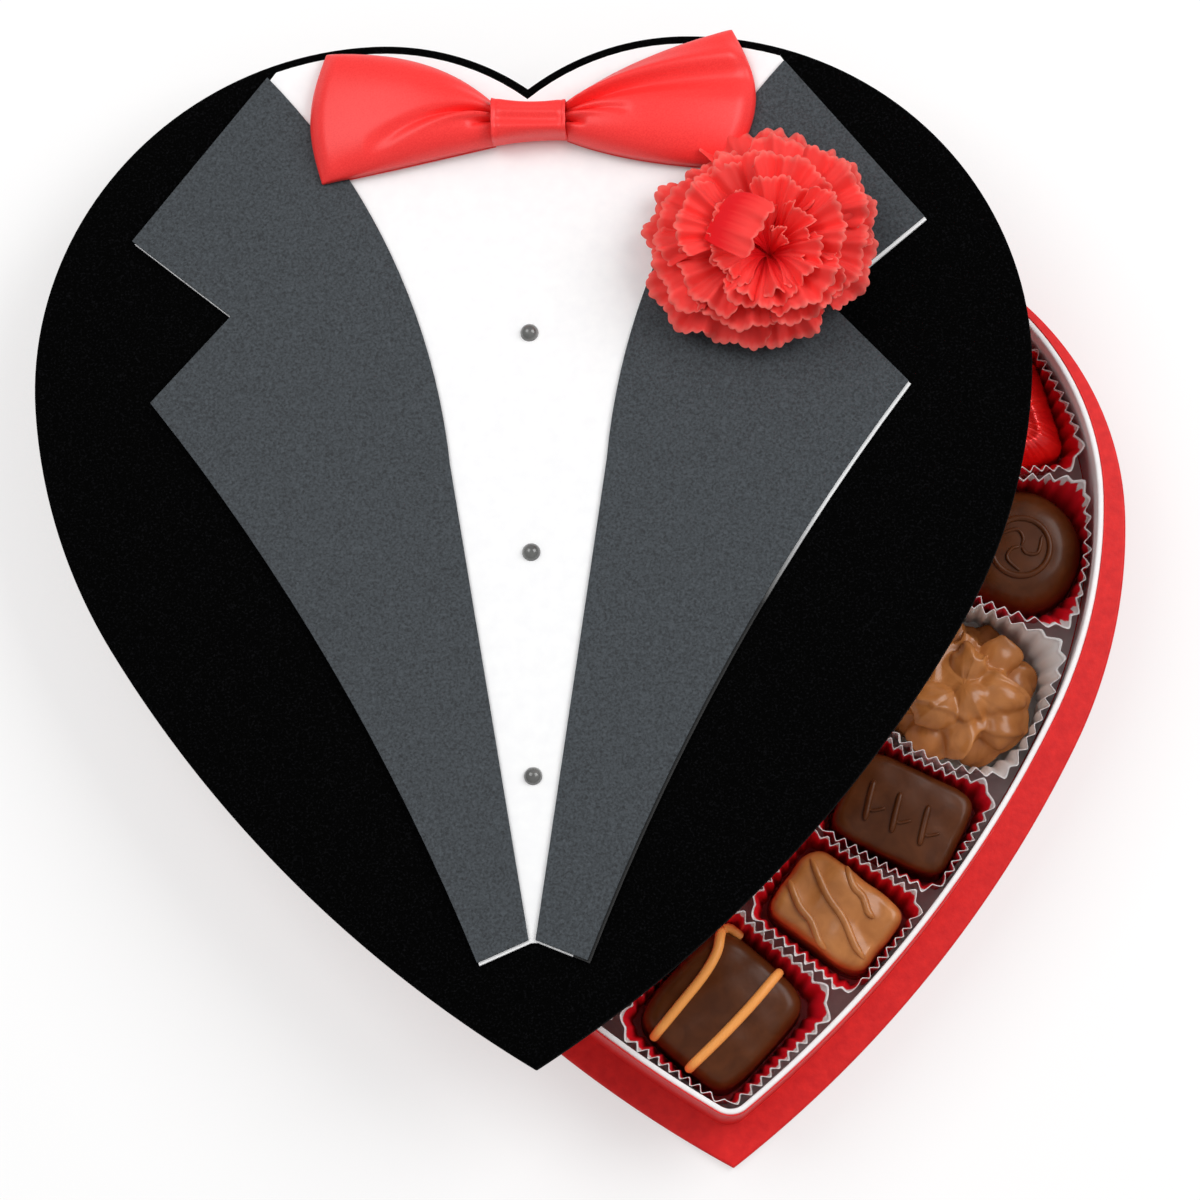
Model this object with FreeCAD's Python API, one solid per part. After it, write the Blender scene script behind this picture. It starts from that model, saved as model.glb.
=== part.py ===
"""Heart-shaped chocolate box: a flanged tray with a neck, filled paper cups, and a dressed lid leaning on it.

Millimetres. The tray stands on z = 0 with its heart centred on the origin, tip towards -Y and notch
towards +Y. The lid is built flat about its own heart, underside at z = 0, and then laid on the rim.
"""
import FreeCAD
import Part
import math
import os
from FreeCAD import Vector

# Heart outline of the lid: each half is four tangent arcs from the tip round to the notch
CREST_RADIUS = 59.0      # from a lobe's top down into the notch
LOBE_RADIUS = 80.3
LOBE_SPREAD = 35.0       # of a lobe's centre from the middle line
LOBE_END = math.radians(179.0)       # slope of the outline where the lobe hands to the crest
SHOULDER_RADIUS = 130.0
SHOULDER_END = math.radians(85.7)    # slope where the shoulder hands to the lobe
SIDE_RADIUS = 296.0
SIDE_END = math.radians(59.0)        # slope where the side hands to the shoulder

# Tray
LID_OVERHANG = 10.0      # lid's edge past the flange
FLANGE = 7.3             # flange past the wrapped neck
BASE_BOARD = 2.0
NECK_HEIGHT = 25.6       # rim above the base board
NECK_BOARD = 1.4
NECK_TIP_RADIUS = 6.0
WRAP_PAPER = 0.3
LINING = 0.3
LINING_CLEARANCE = 0.3

# Paper cups
CUP_PAPER = 0.3
CUP_HEIGHT = 19.0
CUP_FLARE = 1.4          # mouth past the chocolate
CUP_FOOT = 1.2           # foot past the chocolate
FLUTES = 24
FLUTE_DEPTH = 0.7
CUP_GAP = 0.6            # between neighbouring mouths, and between a mouth and the neck
BAR_CUP_POWER = 8        # squareness of a bar's cup
ROUND_CUP_POWER = 2

# Chocolates: depth across the wall, width along it, height
STRIPED_BLOCK = (31.5, 29.0, 17.5)
RIDGED_BAR = (28.5, 20.5, 17.0)
DASHED_BLOCK = (29.6, 22.0, 17.0)
FOIL_BLOCK = (25.5, 25.0, 17.0)
CREAM_ROUND = (29.6, 29.6, 17.0)
NUT_CLUSTER = (35.0, 35.0, 18.0)
CORNER_ROUND = 6.0
EDGE_ROUND = 1.6
DRAFT = 1.2              # set-back of a moulded block's top on each side
MARK_HEIGHT = 0.7
MARK_WIDTH = 1.8
RIDGES = 3
RIDGE_PITCH = 7.0
RIDGE_SLANT = -22.0      # from the bar's length, degrees
DASH_PITCH = 7.2
DASH_LENGTH = 11.0
FOIL_CORNER = 3.0
FOIL_SHOULDER = 12.0     # height where the foil block starts to slope in
FOIL_SLOPE = 4.5
DOME_SPRING = 7.0        # height where a cream's upright side bends into its dome
MEDALLION_RADIUS = 6.6
MEDALLION_RING = 1.6
NUTS = 16
NUT_RADIUS = 4.8
NUT_BED = 9.8

# Lid
LID_BOARD = 2.0
FLOCK = 0.4
COLLAR_DEPTH = 8.6
COLLAR_BOARD = 1.4
COLLAR_CLEARANCE = 0.6   # round the wrapped neck when the lid is on
LID_SLIDE_X = -34.8      # where the lid leans, from the tray's centre
LID_SLIDE_Y = 34.0
LID_TURN = -3.9          # degrees
SEAT_GAP = 0.3           # left between the leaning lid and the rim

# Shirt front and lapels: points of the right half, about the lid's centre
CARD = 0.8
CARD_INSET = 2.3         # from the lid's edge along the lobes
COLLAR_POINT = (60.5, 113.0)
LAPEL_PEAK = (92.0, 74.0)
LAPEL_NOTCH = (68.8, 55.0)
LAPEL_STEP = (87.4, 34.8)
LAPEL_WAIST = (42.8, -33.2)
LAPEL_FOOT = (12.4, -97.5)
LAPEL_POINT = (0.8, -92.6)
SHIRT_OPENING = (18.0, 18.0)
SHIRT_CURVE = (31.8, 69.5)
LAPEL_RISE = 0.6         # how far up the lapels were laid on the card below them
LAPEL_DRIFT = 0.5        # how far to the left
STUDS = 3
STUD_DIAMETER = 4.2
STUD_HEIGHT = 1.8
STUD_TOP_Y = 49.7
STUD_SPACING = 52.1

# Bow
BOW_X = 0.8
BOW_DROP = 9.3           # below the lid's notch
BOW_TURN = 2.0           # degrees
KNOT_WIDTH = 17.0
KNOT_LENGTH = 10.2
KNOT_HEIGHT = 10.0
KNOT_ROUND = 3.5
WING_SPAN = 43.0         # from the knot's side to the end of a wing
WING_WAIST = 9.0         # width where the knot gathers it
WING_WIDTH = 32.0
WING_CROWN = 8.5
WING_END = 4.2           # thickness of the folded end
WING_PLEAT = 0.07        # depth of the pleats against the wing's width
WING_STATIONS = [        # from the knot out: shares of the span, the widening and the crown over the end
    (0.0, 0.0, 0.6), (0.3, 0.5, 1.0), (0.7, 0.93, 1.0), (0.93, 1.0, 0.5), (1.0, 0.86, 0.0),
]

# Carnation
FLOWER_X = 55.2
FLOWER_Y = 65.9
FLOWER_RADIUS = 26.5
FLOWER_HEIGHT = 25.0
FLOWER_BRIM = 10.5       # height of the outermost petals' edge
PETAL_LAYERS = 5
PETAL_LEAN = 70.0        # how far the innermost layer closes, degrees
PETAL_CLOTH = 0.6
PETAL_EYE = 4.0          # radius of the outermost layer's flat middle
PETAL_EYE_STEP = 0.45    # how much smaller the next layer's is
RUFFLES = 16
RUFFLE_DEPTH = 2.2
CALYX_HEIGHT = 4.0
CALYX_RADIUS = 6.0

# Set-ins from the lid's edge, and heights, that the pieces share
FLANGE_INSET = LID_OVERHANG
WRAP_INSET = FLANGE_INSET + FLANGE
NECK_INSET = WRAP_INSET + WRAP_PAPER
HOLLOW_INSET = NECK_INSET + NECK_BOARD
COLLAR_HOLLOW = WRAP_INSET - COLLAR_CLEARANCE
COLLAR_INSET = COLLAR_HOLLOW - COLLAR_BOARD
RIM = BASE_BOARD + NECK_HEIGHT
TRAY_FLOOR = BASE_BOARD + LINING
LID_TOP = LID_BOARD + FLOCK
CARD_TOP = LID_TOP + CARD
LAPEL_TOP = CARD_TOP + CARD

UP = Vector(0, 0, 1)


def heart_arcs():
    """Centres of the right half's side, shoulder, lobe and crest arcs, with the lobes' circles and the tip
    as far above the middle as below it."""
    def inward(slope):
        return Vector(-math.sin(slope), math.cos(slope), 0)

    lobe = Vector(LOBE_SPREAD, 0, 0)
    crest = lobe + inward(LOBE_END) * (CREST_RADIUS - LOBE_RADIUS)
    shoulder = lobe + inward(SHOULDER_END) * (SHOULDER_RADIUS - LOBE_RADIUS)
    side = shoulder + inward(SIDE_END) * (SIDE_RADIUS - SHOULDER_RADIUS)
    tip = side.y - math.sqrt(SIDE_RADIUS ** 2 - side.x ** 2)
    centring = Vector(0, -(tip + LOBE_RADIUS) / 2, 0)
    return [centre + centring for centre in (side, shoulder, lobe, crest)]


SIDE, SHOULDER, LOBE, CREST = heart_arcs()
BOW_Y = CREST.y + math.sqrt(CREST_RADIUS ** 2 - CREST.x ** 2) - BOW_DROP


def heart_spans(inset):
    """Right half of the heart at a set-in from the lid's edge: centre, radius and end slopes of each arc.

    The crest ends on the middle line, or where it is nearest to that line if it is too small to reach it.
    """
    side = SIDE_RADIUS - inset
    crest = CREST_RADIUS - inset
    crossing = math.asin(CREST.x / max(crest, CREST.x))
    return [
        (SIDE, side, -math.asin(SIDE.x / side), SIDE_END),
        (SHOULDER, SHOULDER_RADIUS - inset, SIDE_END, SHOULDER_END),
        (LOBE, LOBE_RADIUS - inset, SHOULDER_END, LOBE_END),
        (CREST, crest, LOBE_END, math.pi + crossing),
    ]


def on_arc(centre, radius, slope):
    """Point of an arc where the outline runs at the given slope."""
    return centre + Vector(math.sin(slope), -math.cos(slope), 0) * radius


def heart_face(inset, z=0.0):
    """Heart at a set-in from the lid's edge, at a height."""
    right = []
    for centre, radius, start, end in heart_spans(inset):
        ends = [on_arc(centre, radius, slope) for slope in (start, (start + end) / 2, end)]
        right.append([Vector(p.x if abs(p.x) > 1e-9 else 0, p.y, z) for p in ends])
    left = [[Vector(-p.x, p.y, z) for p in reversed(arc)] for arc in reversed(right)]
    edges = [Part.Arc(*arc).toShape() for arc in right + left]
    if right[-1][-1].x > 0:
        edges.insert(len(right), Part.makeLine(right[-1][-1], left[0][0]))
    return Part.Face(Part.Wire(edges))


def heart_block(inset, low, high, tip_radius=0.0):
    """Heart prism between two heights, with its tip rounded where asked."""
    block = heart_face(inset, low).extrude(UP * (high - low))
    if tip_radius > 0:
        on_axis = [e for e in block.Edges if max(abs(v.X) for v in e.Vertexes) < 1e-6]
        block = block.makeFillet(tip_radius, [min(on_axis, key=lambda e: e.CenterOfMass.y)])
    return block


def heart_hoop(inset, wall, low, high, tip_radius):
    """Heart-shaped wall between two heights; its outer face has the given tip radius."""
    outside = heart_block(inset, low, high, tip_radius)
    return outside.cut(heart_block(inset + wall, low, high, tip_radius - wall))


def placed(shape, x=0.0, y=0.0, z=0.0, turn=0.0):
    """The shape turned about Z and then moved."""
    moved = shape.copy()
    moved.Placement = FreeCAD.Placement(Vector(x, y, z), FreeCAD.Rotation(UP, turn)).multiply(shape.Placement)
    return moved


def revolved(points, arc=None):
    """Solid turned about Z from (radius, height) points; arc is the mid point of a last, curved side."""
    corners = [Vector(r, 0, z) for r, z in points]
    edges = [Part.makeLine(a, b) for a, b in zip(corners, corners[1:])]
    if arc:
        edges.append(Part.Arc(corners[-1], Vector(arc[0], 0, arc[1]), corners[0]).toShape())
    else:
        edges.append(Part.makeLine(corners[-1], corners[0]))
    return Part.Face(Part.Wire(edges)).revolve(Vector(0, 0, 0), UP, 360)


def pleated_shell(rings):
    """Closed solid through rings of matching points, the first and the last ring capped flat."""
    count = len(rings[0])
    faces = [Part.Face(Part.makePolygon(ring + ring[:1])) for ring in (rings[0], rings[-1])]
    for low, high in zip(rings, rings[1:]):
        for i in range(count):
            j = (i + 1) % count
            faces.append(Part.Face(Part.makePolygon([low[i], low[j], high[j], high[i], low[i]])))
    shell = Part.makeShell(faces)
    shell.sewShape()
    solid = Part.Solid(shell)
    if solid.Volume < 0:
        solid.reverse()
    return solid


def pleats(half_x, half_y, power, folds, depth):
    """Outline that steps in by the fold depth and out again once per fold, on a rounded oblong."""
    outline = []
    for i in range(2 * folds):
        angle = math.pi * i / folds
        x, y = math.cos(angle), math.sin(angle)
        radius = (abs(x / half_x) ** power + abs(y / half_y) ** power) ** (-1 / power) - depth * (i % 2)
        outline.append(Vector(radius * x, radius * y, 0))
    return outline


def scaled(outline, factor, z):
    """The outline grown about its middle, at a height."""
    return [p * factor + UP * z for p in outline]


def paper_cup(size, mouth_size):
    """Fluted cup whose foot and mouth stand off the chocolate by CUP_FOOT and CUP_FLARE."""
    mouth_line = pleats(*mouth_size, FLUTES, FLUTE_DEPTH)
    short = min(size[:2]) / 2
    foot = (short + CUP_FOOT) / (short + CUP_FLARE)
    bore = 1 - CUP_PAPER / (short + CUP_FLARE - FLUTE_DEPTH)
    floor = foot + (1 - foot) * CUP_PAPER / CUP_HEIGHT
    return pleated_shell([
        scaled(mouth_line, foot, 0),
        scaled(mouth_line, 1, CUP_HEIGHT),
        scaled(mouth_line, bore, CUP_HEIGHT),
        scaled(mouth_line, bore * floor, CUP_PAPER),
    ])


def oblong(depth, width, corner, z):
    """Oblong wire with rounded corners."""
    block = Part.makeBox(depth, width, 1, Vector(-depth / 2, -width / 2, z))
    upright = [e for e in block.Edges if abs(e.Vertexes[0].Z - e.Vertexes[1].Z) > 0.5]
    rounded = block.makeFillet(corner, upright)
    return min(rounded.Faces, key=lambda f: f.CenterOfMass.z).OuterWire


def moulded_block(size):
    """Chocolate from a tapered mould: rounded corners and a softened top edge."""
    depth, width, height = size
    foot = oblong(depth, width, CORNER_ROUND, 0)
    top = oblong(depth - 2 * DRAFT, width - 2 * DRAFT, CORNER_ROUND - DRAFT, height)
    block = Part.makeLoft([foot, top], True, True)
    brim = [e for e in block.Edges if min(v.Z for v in e.Vertexes) > height - 1e-6]
    return block.makeFillet(EDGE_ROUND, brim)


def raised_bar(length, x, y, turn, height):
    """Half-sunk round bar that shows as a raised mark on a block's top."""
    bar = Part.makeCylinder(MARK_WIDTH / 2, length, Vector(-length / 2, 0, 0), Vector(1, 0, 0))
    return placed(bar, x, y, height - MARK_WIDTH / 2 + MARK_HEIGHT, turn)


def striped_block():
    """Dark block; its two poured lines are its finish."""
    return moulded_block(STRIPED_BLOCK)


def ridged_bar():
    """Bar with slanting ridges, each as long as the flat of the top allows along its line."""
    margin = DRAFT + EDGE_ROUND + MARK_WIDTH / 2
    half_depth, half_width = (side / 2 - margin for side in RIDGED_BAR[:2])
    along = placed(Part.Vertex(1, 0, 0), turn=RIDGE_SLANT).Point
    marks = []
    for i in range(RIDGES):
        offset = (i - (RIDGES - 1) / 2) * RIDGE_PITCH
        start = Vector(-along.y, along.x, 0) * offset
        ends = [((side * half - at) / run) for half, at, run in (
            (half_depth, start.x, along.x), (half_width, start.y, along.y)) for side in (-1, 1)]
        low = max(min(ends[:2]), min(ends[2:]))
        high = min(max(ends[:2]), max(ends[2:]))
        middle = start + along * ((low + high) / 2)
        marks.append(raised_bar(high - low, middle.x, middle.y, RIDGE_SLANT, RIDGED_BAR[2]))
    return moulded_block(RIDGED_BAR).multiFuse(marks)


def dashed_block():
    """Block with three short raised dashes side by side."""
    marks = [raised_bar(DASH_LENGTH, i * DASH_PITCH, 0, 90, DASHED_BLOCK[2]) for i in (-1, 0, 1)]
    return moulded_block(DASHED_BLOCK).multiFuse(marks)


def foil_block():
    """Foil-wrapped square with a sloping shoulder all round its top."""
    depth, width, height = FOIL_BLOCK
    foot = oblong(depth, width, FOIL_CORNER, 0)
    shoulder = oblong(depth, width, FOIL_CORNER, FOIL_SHOULDER)
    top = oblong(depth - 2 * FOIL_SLOPE, width - 2 * FOIL_SLOPE, FOIL_CORNER, height)
    return Part.makeLoft([foot, shoulder, top], True, True)


def cream_round():
    """Domed round cream with a flat top and a raised ring on it."""
    radius, height = CREAM_ROUND[0] / 2, CREAM_ROUND[2]
    flat = MEDALLION_RADIUS + MEDALLION_RING
    inward, rise = radius - flat, height - DOME_SPRING
    bend = (inward ** 2 + rise ** 2) / (2 * inward)
    half = math.acos((bend - inward) / bend) / 2
    dome = (radius - bend * (1 - math.cos(half)), DOME_SPRING + bend * math.sin(half))
    body = revolved([(flat, height), (0, height), (0, 0), (radius, 0), (radius, DOME_SPRING)], dome)
    ring = Part.makeTorus(MEDALLION_RADIUS, MEDALLION_RING / 2, Vector(0, 0, height))
    return body.fuse(ring)


def nut_cluster():
    """Nuts under poured chocolate: balls spread over a round bed by the golden angle."""
    radius, height = NUT_CLUSTER[0] / 2, NUT_CLUSTER[2]
    bed = revolved([(0, 0), (radius - NUT_RADIUS / 2, 0), (radius - NUT_RADIUS, NUT_BED), (0, NUT_BED)])
    balls = []
    for i in range(NUTS):
        share = (i + 0.5) / NUTS
        spread = (radius - NUT_RADIUS) * math.sqrt(share)
        angle = i * math.pi * (3 - math.sqrt(5))
        z = height - NUT_RADIUS - (height - NUT_BED) * share
        middle = Vector(spread * math.cos(angle), spread * math.sin(angle), z)
        balls.append(Part.makeSphere(NUT_RADIUS, middle))
    return bed.multiFuse(balls)


BAR_CUPS = "red_bar_cups"
KINDS = {
    "striped_block": (STRIPED_BLOCK, striped_block, BAR_CUPS),
    "ridged_bar": (RIDGED_BAR, ridged_bar, BAR_CUPS),
    "dashed_block": (DASHED_BLOCK, dashed_block, BAR_CUPS),
    "foil_block": (FOIL_BLOCK, foil_block, BAR_CUPS),
    "cream_round": (CREAM_ROUND, cream_round, "red_round_cups"),
    "nut_cluster": (NUT_CLUSTER, nut_cluster, "white_round_cups"),
}

# Assortment: from the tip up each wall, kind, turn in degrees and slack left before it; then the middle rows
TIP_PIECE = "striped_block"
TIP_TURN = 43
TIP_SLACK = 2.4          # left below the cup in the tip
NOTCH_PIECE = "striped_block"
RIGHT_WALL = [
    ("ridged_bar", 4, 4.2), ("dashed_block", 9, 0.5), ("nut_cluster", 0, 0), ("cream_round", 0, 0),
    ("foil_block", -11, 0), ("cream_round", 0, 0), ("ridged_bar", 0, 0), ("nut_cluster", 0, 0),
]
LEFT_WALL = [
    ("dashed_block", -4, 2.0), ("ridged_bar", -8, 0), ("cream_round", 0, 0), ("foil_block", 6, 0),
    ("nut_cluster", 0, 0), ("dashed_block", 5, 0), ("cream_round", 0, 0), ("ridged_bar", 0, 0),
]
MIDDLE = [               # kind, and column against the widest cup
    ("nut_cluster", 0), ("cream_round", -1), ("cream_round", 1),
    ("nut_cluster", -0.56), ("nut_cluster", 0.56), ("cream_round", 0),
]
SETTING_STEP = 0.25      # how finely a cup is pushed up to its neighbour


def mouth(kind):
    """Half of a cup's mouth across and along the wall, and the power of its outline."""
    (depth, width, _), _, cups = KINDS[kind]
    power = BAR_CUP_POWER if cups == BAR_CUPS else ROUND_CUP_POWER
    return depth / 2 + CUP_FLARE, width / 2 + CUP_FLARE, power


WIDEST = max(max(mouth(kind)[:2]) for kind in KINDS)
BESIDE = 3 * WIDEST      # cups further apart than this never meet
RING_INSET = HOLLOW_INSET + CUP_GAP + WIDEST


def mouth_points(place):
    """Points round the mouth of a cup where it stands."""
    kind, x, y, turn = place
    pose = FreeCAD.Placement(Vector(x, y, 0), FreeCAD.Rotation(UP, turn))
    return [pose.multVec(p) for p in pleats(*mouth(kind), FLUTES, 0)]


def covers(place, point):
    """Whether a point lies in a cup's mouth or within the gap round it."""
    kind, x, y, turn = place
    across, along, power = mouth(kind)
    local = FreeCAD.Rotation(UP, -turn).multVec(point - Vector(x, y, 0))
    return abs(local.x / (across + CUP_GAP)) ** power + abs(local.y / (along + CUP_GAP)) ** power < 1


def clear(place, others):
    """Whether a cup stands clear of all the others."""
    rim = mouth_points(place)
    for other in others:
        if math.hypot(other[1] - place[1], other[2] - place[2]) > BESIDE:
            continue
        if any(covers(other, p) for p in rim) or any(covers(place, p) for p in mouth_points(other)):
            return False
    return True


def wall_place(kind, turn, run, hand):
    """A cup with its mouth against the wall, a run along the ring of cups from the tip up one side."""
    across, along, power = mouth(kind)
    dual = power / (power - 1)
    swing = math.radians(turn)
    deep = (abs(across * math.cos(swing)) ** dual + abs(along * math.sin(swing)) ** dual) ** (1 / dual)
    for centre, radius, start, end in heart_spans(RING_INSET):
        if run <= radius * (end - start):
            slope = start + run / radius
            point = on_arc(centre, radius + WIDEST - deep, slope)
            return kind, hand * point.x, point.y, hand * (math.degrees(slope) - 90) + turn
        run -= radius * (end - start)
    return None


def add_wall(places, kinds, hand):
    """Push cups up one wall, each to its neighbour, until the next would no longer fit below the notch."""
    run = 0.0
    for kind, turn, slack in kinds:
        place = wall_place(kind, turn, run, hand)
        while place and not clear(place, places):
            run += SETTING_STEP
            place = wall_place(kind, turn, run, hand)
        run += slack
        place = place and wall_place(kind, turn, run, hand)
        if place is None or place[1] * hand < WIDEST:
            break
        places.append(place)


def add_middle(places, top):
    """Columns of cups inside the ring, each let down from a height until it stands clear of the others."""
    pitch = 2 * WIDEST + CUP_GAP
    lowest = min(place[2] for place in places)
    for kind, column in MIDDLE:
        place = (kind, column * pitch, top, 0)
        while not clear(place, places) and place[2] > lowest:
            place = (kind, place[1], place[2] - SETTING_STEP, 0)
        if place[2] > lowest:
            places.append(place)


def cup_places():
    """Every cup in the tray: kind, x, y and turn."""
    tip = on_arc(*heart_spans(HOLLOW_INSET + CUP_GAP + max(mouth(TIP_PIECE)[:2]))[0][:3])
    notch = on_arc(*[heart_spans(HOLLOW_INSET)[-1][i] for i in (0, 1, 3)])
    below_notch = notch.y - CUP_GAP - mouth(NOTCH_PIECE)[1]
    places = [(TIP_PIECE, 0, tip.y + TIP_SLACK, TIP_TURN), (NOTCH_PIECE, 0, below_notch, 0)]
    add_wall(places, RIGHT_WALL, 1)
    add_wall(places, LEFT_WALL, -1)
    add_middle(places, below_notch)
    return places


def tray_pieces():
    """Base, neck, lining, cups and chocolates."""
    pieces = {
        "base_board": heart_block(FLANGE_INSET, 0, BASE_BOARD),
        "neck_wall": heart_hoop(NECK_INSET, NECK_BOARD, BASE_BOARD, RIM, NECK_TIP_RADIUS - WRAP_PAPER),
        "neck_wrap": heart_hoop(WRAP_INSET, WRAP_PAPER, BASE_BOARD, RIM, NECK_TIP_RADIUS),
        "tray_lining": heart_block(HOLLOW_INSET + LINING_CLEARANCE, BASE_BOARD, TRAY_FLOOR, NECK_TIP_RADIUS),
    }
    cups = {}
    counts = {}
    for kind, x, y, turn in cup_places():
        size, make, cup_node = KINDS[kind]
        counts[kind] = counts.get(kind, 0) + 1
        cups.setdefault(cup_node, []).append(placed(paper_cup(size, mouth(kind)), x, y, TRAY_FLOOR, turn))
        pieces[f"{kind}_{counts[kind]}"] = placed(make(), x, y, TRAY_FLOOR + CUP_PAPER, turn)
    for node, solids in cups.items():
        pieces[node] = Part.makeCompound(solids)
    return pieces


def vector(point, z=0.0):
    return Vector(point[0], point[1], z)


def lapel_face():
    """Right lapel: straight collar, V notch, hollow front edge, and the curved shirt opening."""
    outline = [COLLAR_POINT, LAPEL_PEAK, LAPEL_NOTCH, LAPEL_STEP]
    edges = [Part.makeLine(vector(a), vector(b)) for a, b in zip(outline, outline[1:])]
    edges.append(Part.Arc(vector(LAPEL_STEP), vector(LAPEL_WAIST), vector(LAPEL_FOOT)).toShape())
    edges.append(Part.makeLine(vector(LAPEL_FOOT), vector(LAPEL_POINT)))
    edges.append(Part.makeLine(vector(LAPEL_POINT), vector(SHIRT_OPENING)))
    edges.append(Part.Arc(vector(SHIRT_OPENING), vector(SHIRT_CURVE), vector(COLLAR_POINT)).toShape())
    return Part.Face(Part.Wire(edges))


def mirrored(shape):
    return shape.mirror(Vector(0, 0, 0), Vector(1, 0, 0))


def shirt_card():
    """White card under the whole front: the lapels' outline and the shirt between them, up to the lobes."""
    half = lapel_face()
    above = Vector(0, COLLAR_POINT[1] + LOBE_RADIUS, 0)
    below = Vector(0, LAPEL_POINT[1], 0)
    opening = Part.Wire([
        Part.makeLine(above, below),
        Part.makeLine(below, vector(LAPEL_POINT)),
        Part.makeLine(vector(LAPEL_POINT), vector(SHIRT_OPENING)),
        Part.Arc(vector(SHIRT_OPENING), vector(SHIRT_CURVE), vector(COLLAR_POINT)).toShape(),
        Part.makeLine(vector(COLLAR_POINT), above),
    ])
    shirt = Part.Face(opening).common(heart_face(CARD_INSET))
    panels = [face.extrude(UP * CARD) for face in (half, mirrored(half), shirt, mirrored(shirt))]
    return placed(panels[0].multiFuse(panels[1:]).removeSplitter(), z=LID_TOP)


def stud():
    """Half-pearl stud with a flat back."""
    radius = STUD_DIAMETER / 2
    ball = (radius ** 2 + STUD_HEIGHT ** 2) / (2 * STUD_HEIGHT)
    half = math.asin(radius / ball) / 2
    crown = (ball * math.sin(half), STUD_HEIGHT - ball * (1 - math.cos(half)))
    return revolved([(0, STUD_HEIGHT), (0, 0), (radius, 0)], crown)


def wing_section(x, width, height):
    """Cross-section of a bow wing: flat back, two sides and three rounded pleats across the front."""
    half = width / 2
    valley = height - WING_PLEAT * width
    joints = [half, half / 3, -half / 3, -half]
    corners = [Vector(x, y, valley) for y in joints]
    crowns = [Vector(x, (a + b) / 2, height) for a, b in zip(joints, joints[1:])]
    pleat = [Part.Arc(a, crown, b).toShape() for a, crown, b in zip(corners, crowns, corners[1:])]
    rest = [corners[-1], Vector(x, -half, 0), Vector(x, half, 0), corners[0]]
    return Part.Wire(pleat + [Part.makeLine(a, b) for a, b in zip(rest, rest[1:])])


def bow_wing():
    """Right wing: gathered at the knot, crowned in the middle, folded thin at its end."""
    sections = []
    for out, spread, rise in WING_STATIONS:
        width = WING_WAIST + spread * (WING_WIDTH - WING_WAIST)
        height = WING_END + rise * (WING_CROWN - WING_END)
        sections.append(wing_section(KNOT_WIDTH / 2 + out * WING_SPAN, width, height))
    return Part.makeLoft(sections, True, False)


def bow_knot():
    """Band drawn round the middle of the bow, rounded front and back."""
    block = Part.makeBox(KNOT_WIDTH, KNOT_LENGTH, KNOT_HEIGHT, Vector(-KNOT_WIDTH / 2, -KNOT_LENGTH / 2, 0))
    front = [e for e in block.Edges if e.CenterOfMass.z > KNOT_HEIGHT - 1e-6 and abs(e.CenterOfMass.x) < 1e-6]
    return block.makeFillet(KNOT_ROUND, front)


def petal_layer(index):
    """One ruffled petal layer of the flower: a pleated dish, steeper and narrower towards the middle."""
    share = index / (PETAL_LAYERS - 1)
    radius = FLOWER_RADIUS * math.cos(math.radians(PETAL_LEAN) * share)
    rim = FLOWER_BRIM + (FLOWER_HEIGHT - FLOWER_BRIM) * math.sin(math.pi / 2 * share)
    folds = max(5, round(RUFFLES * radius / FLOWER_RADIUS))
    edge = pleats(radius, radius, ROUND_CUP_POWER, folds, RUFFLE_DEPTH * radius / FLOWER_RADIUS)
    eye = (PETAL_EYE - index * PETAL_EYE_STEP) / radius
    low = CALYX_HEIGHT + index * PETAL_CLOTH
    return pleated_shell([
        scaled(edge, eye, low),
        scaled(edge, 1, rim),
        scaled(edge, 1, rim + PETAL_CLOTH),
        scaled(edge, eye, low + PETAL_CLOTH),
    ])


def calyx():
    """Moulded cup that the petal layers are pinned to."""
    waist = (PETAL_EYE + (CALYX_RADIUS - PETAL_EYE) / 4, CALYX_HEIGHT / 2)
    return revolved([(PETAL_EYE, CALYX_HEIGHT), (0, CALYX_HEIGHT), (0, 0), (CALYX_RADIUS, 0)], waist)


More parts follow.
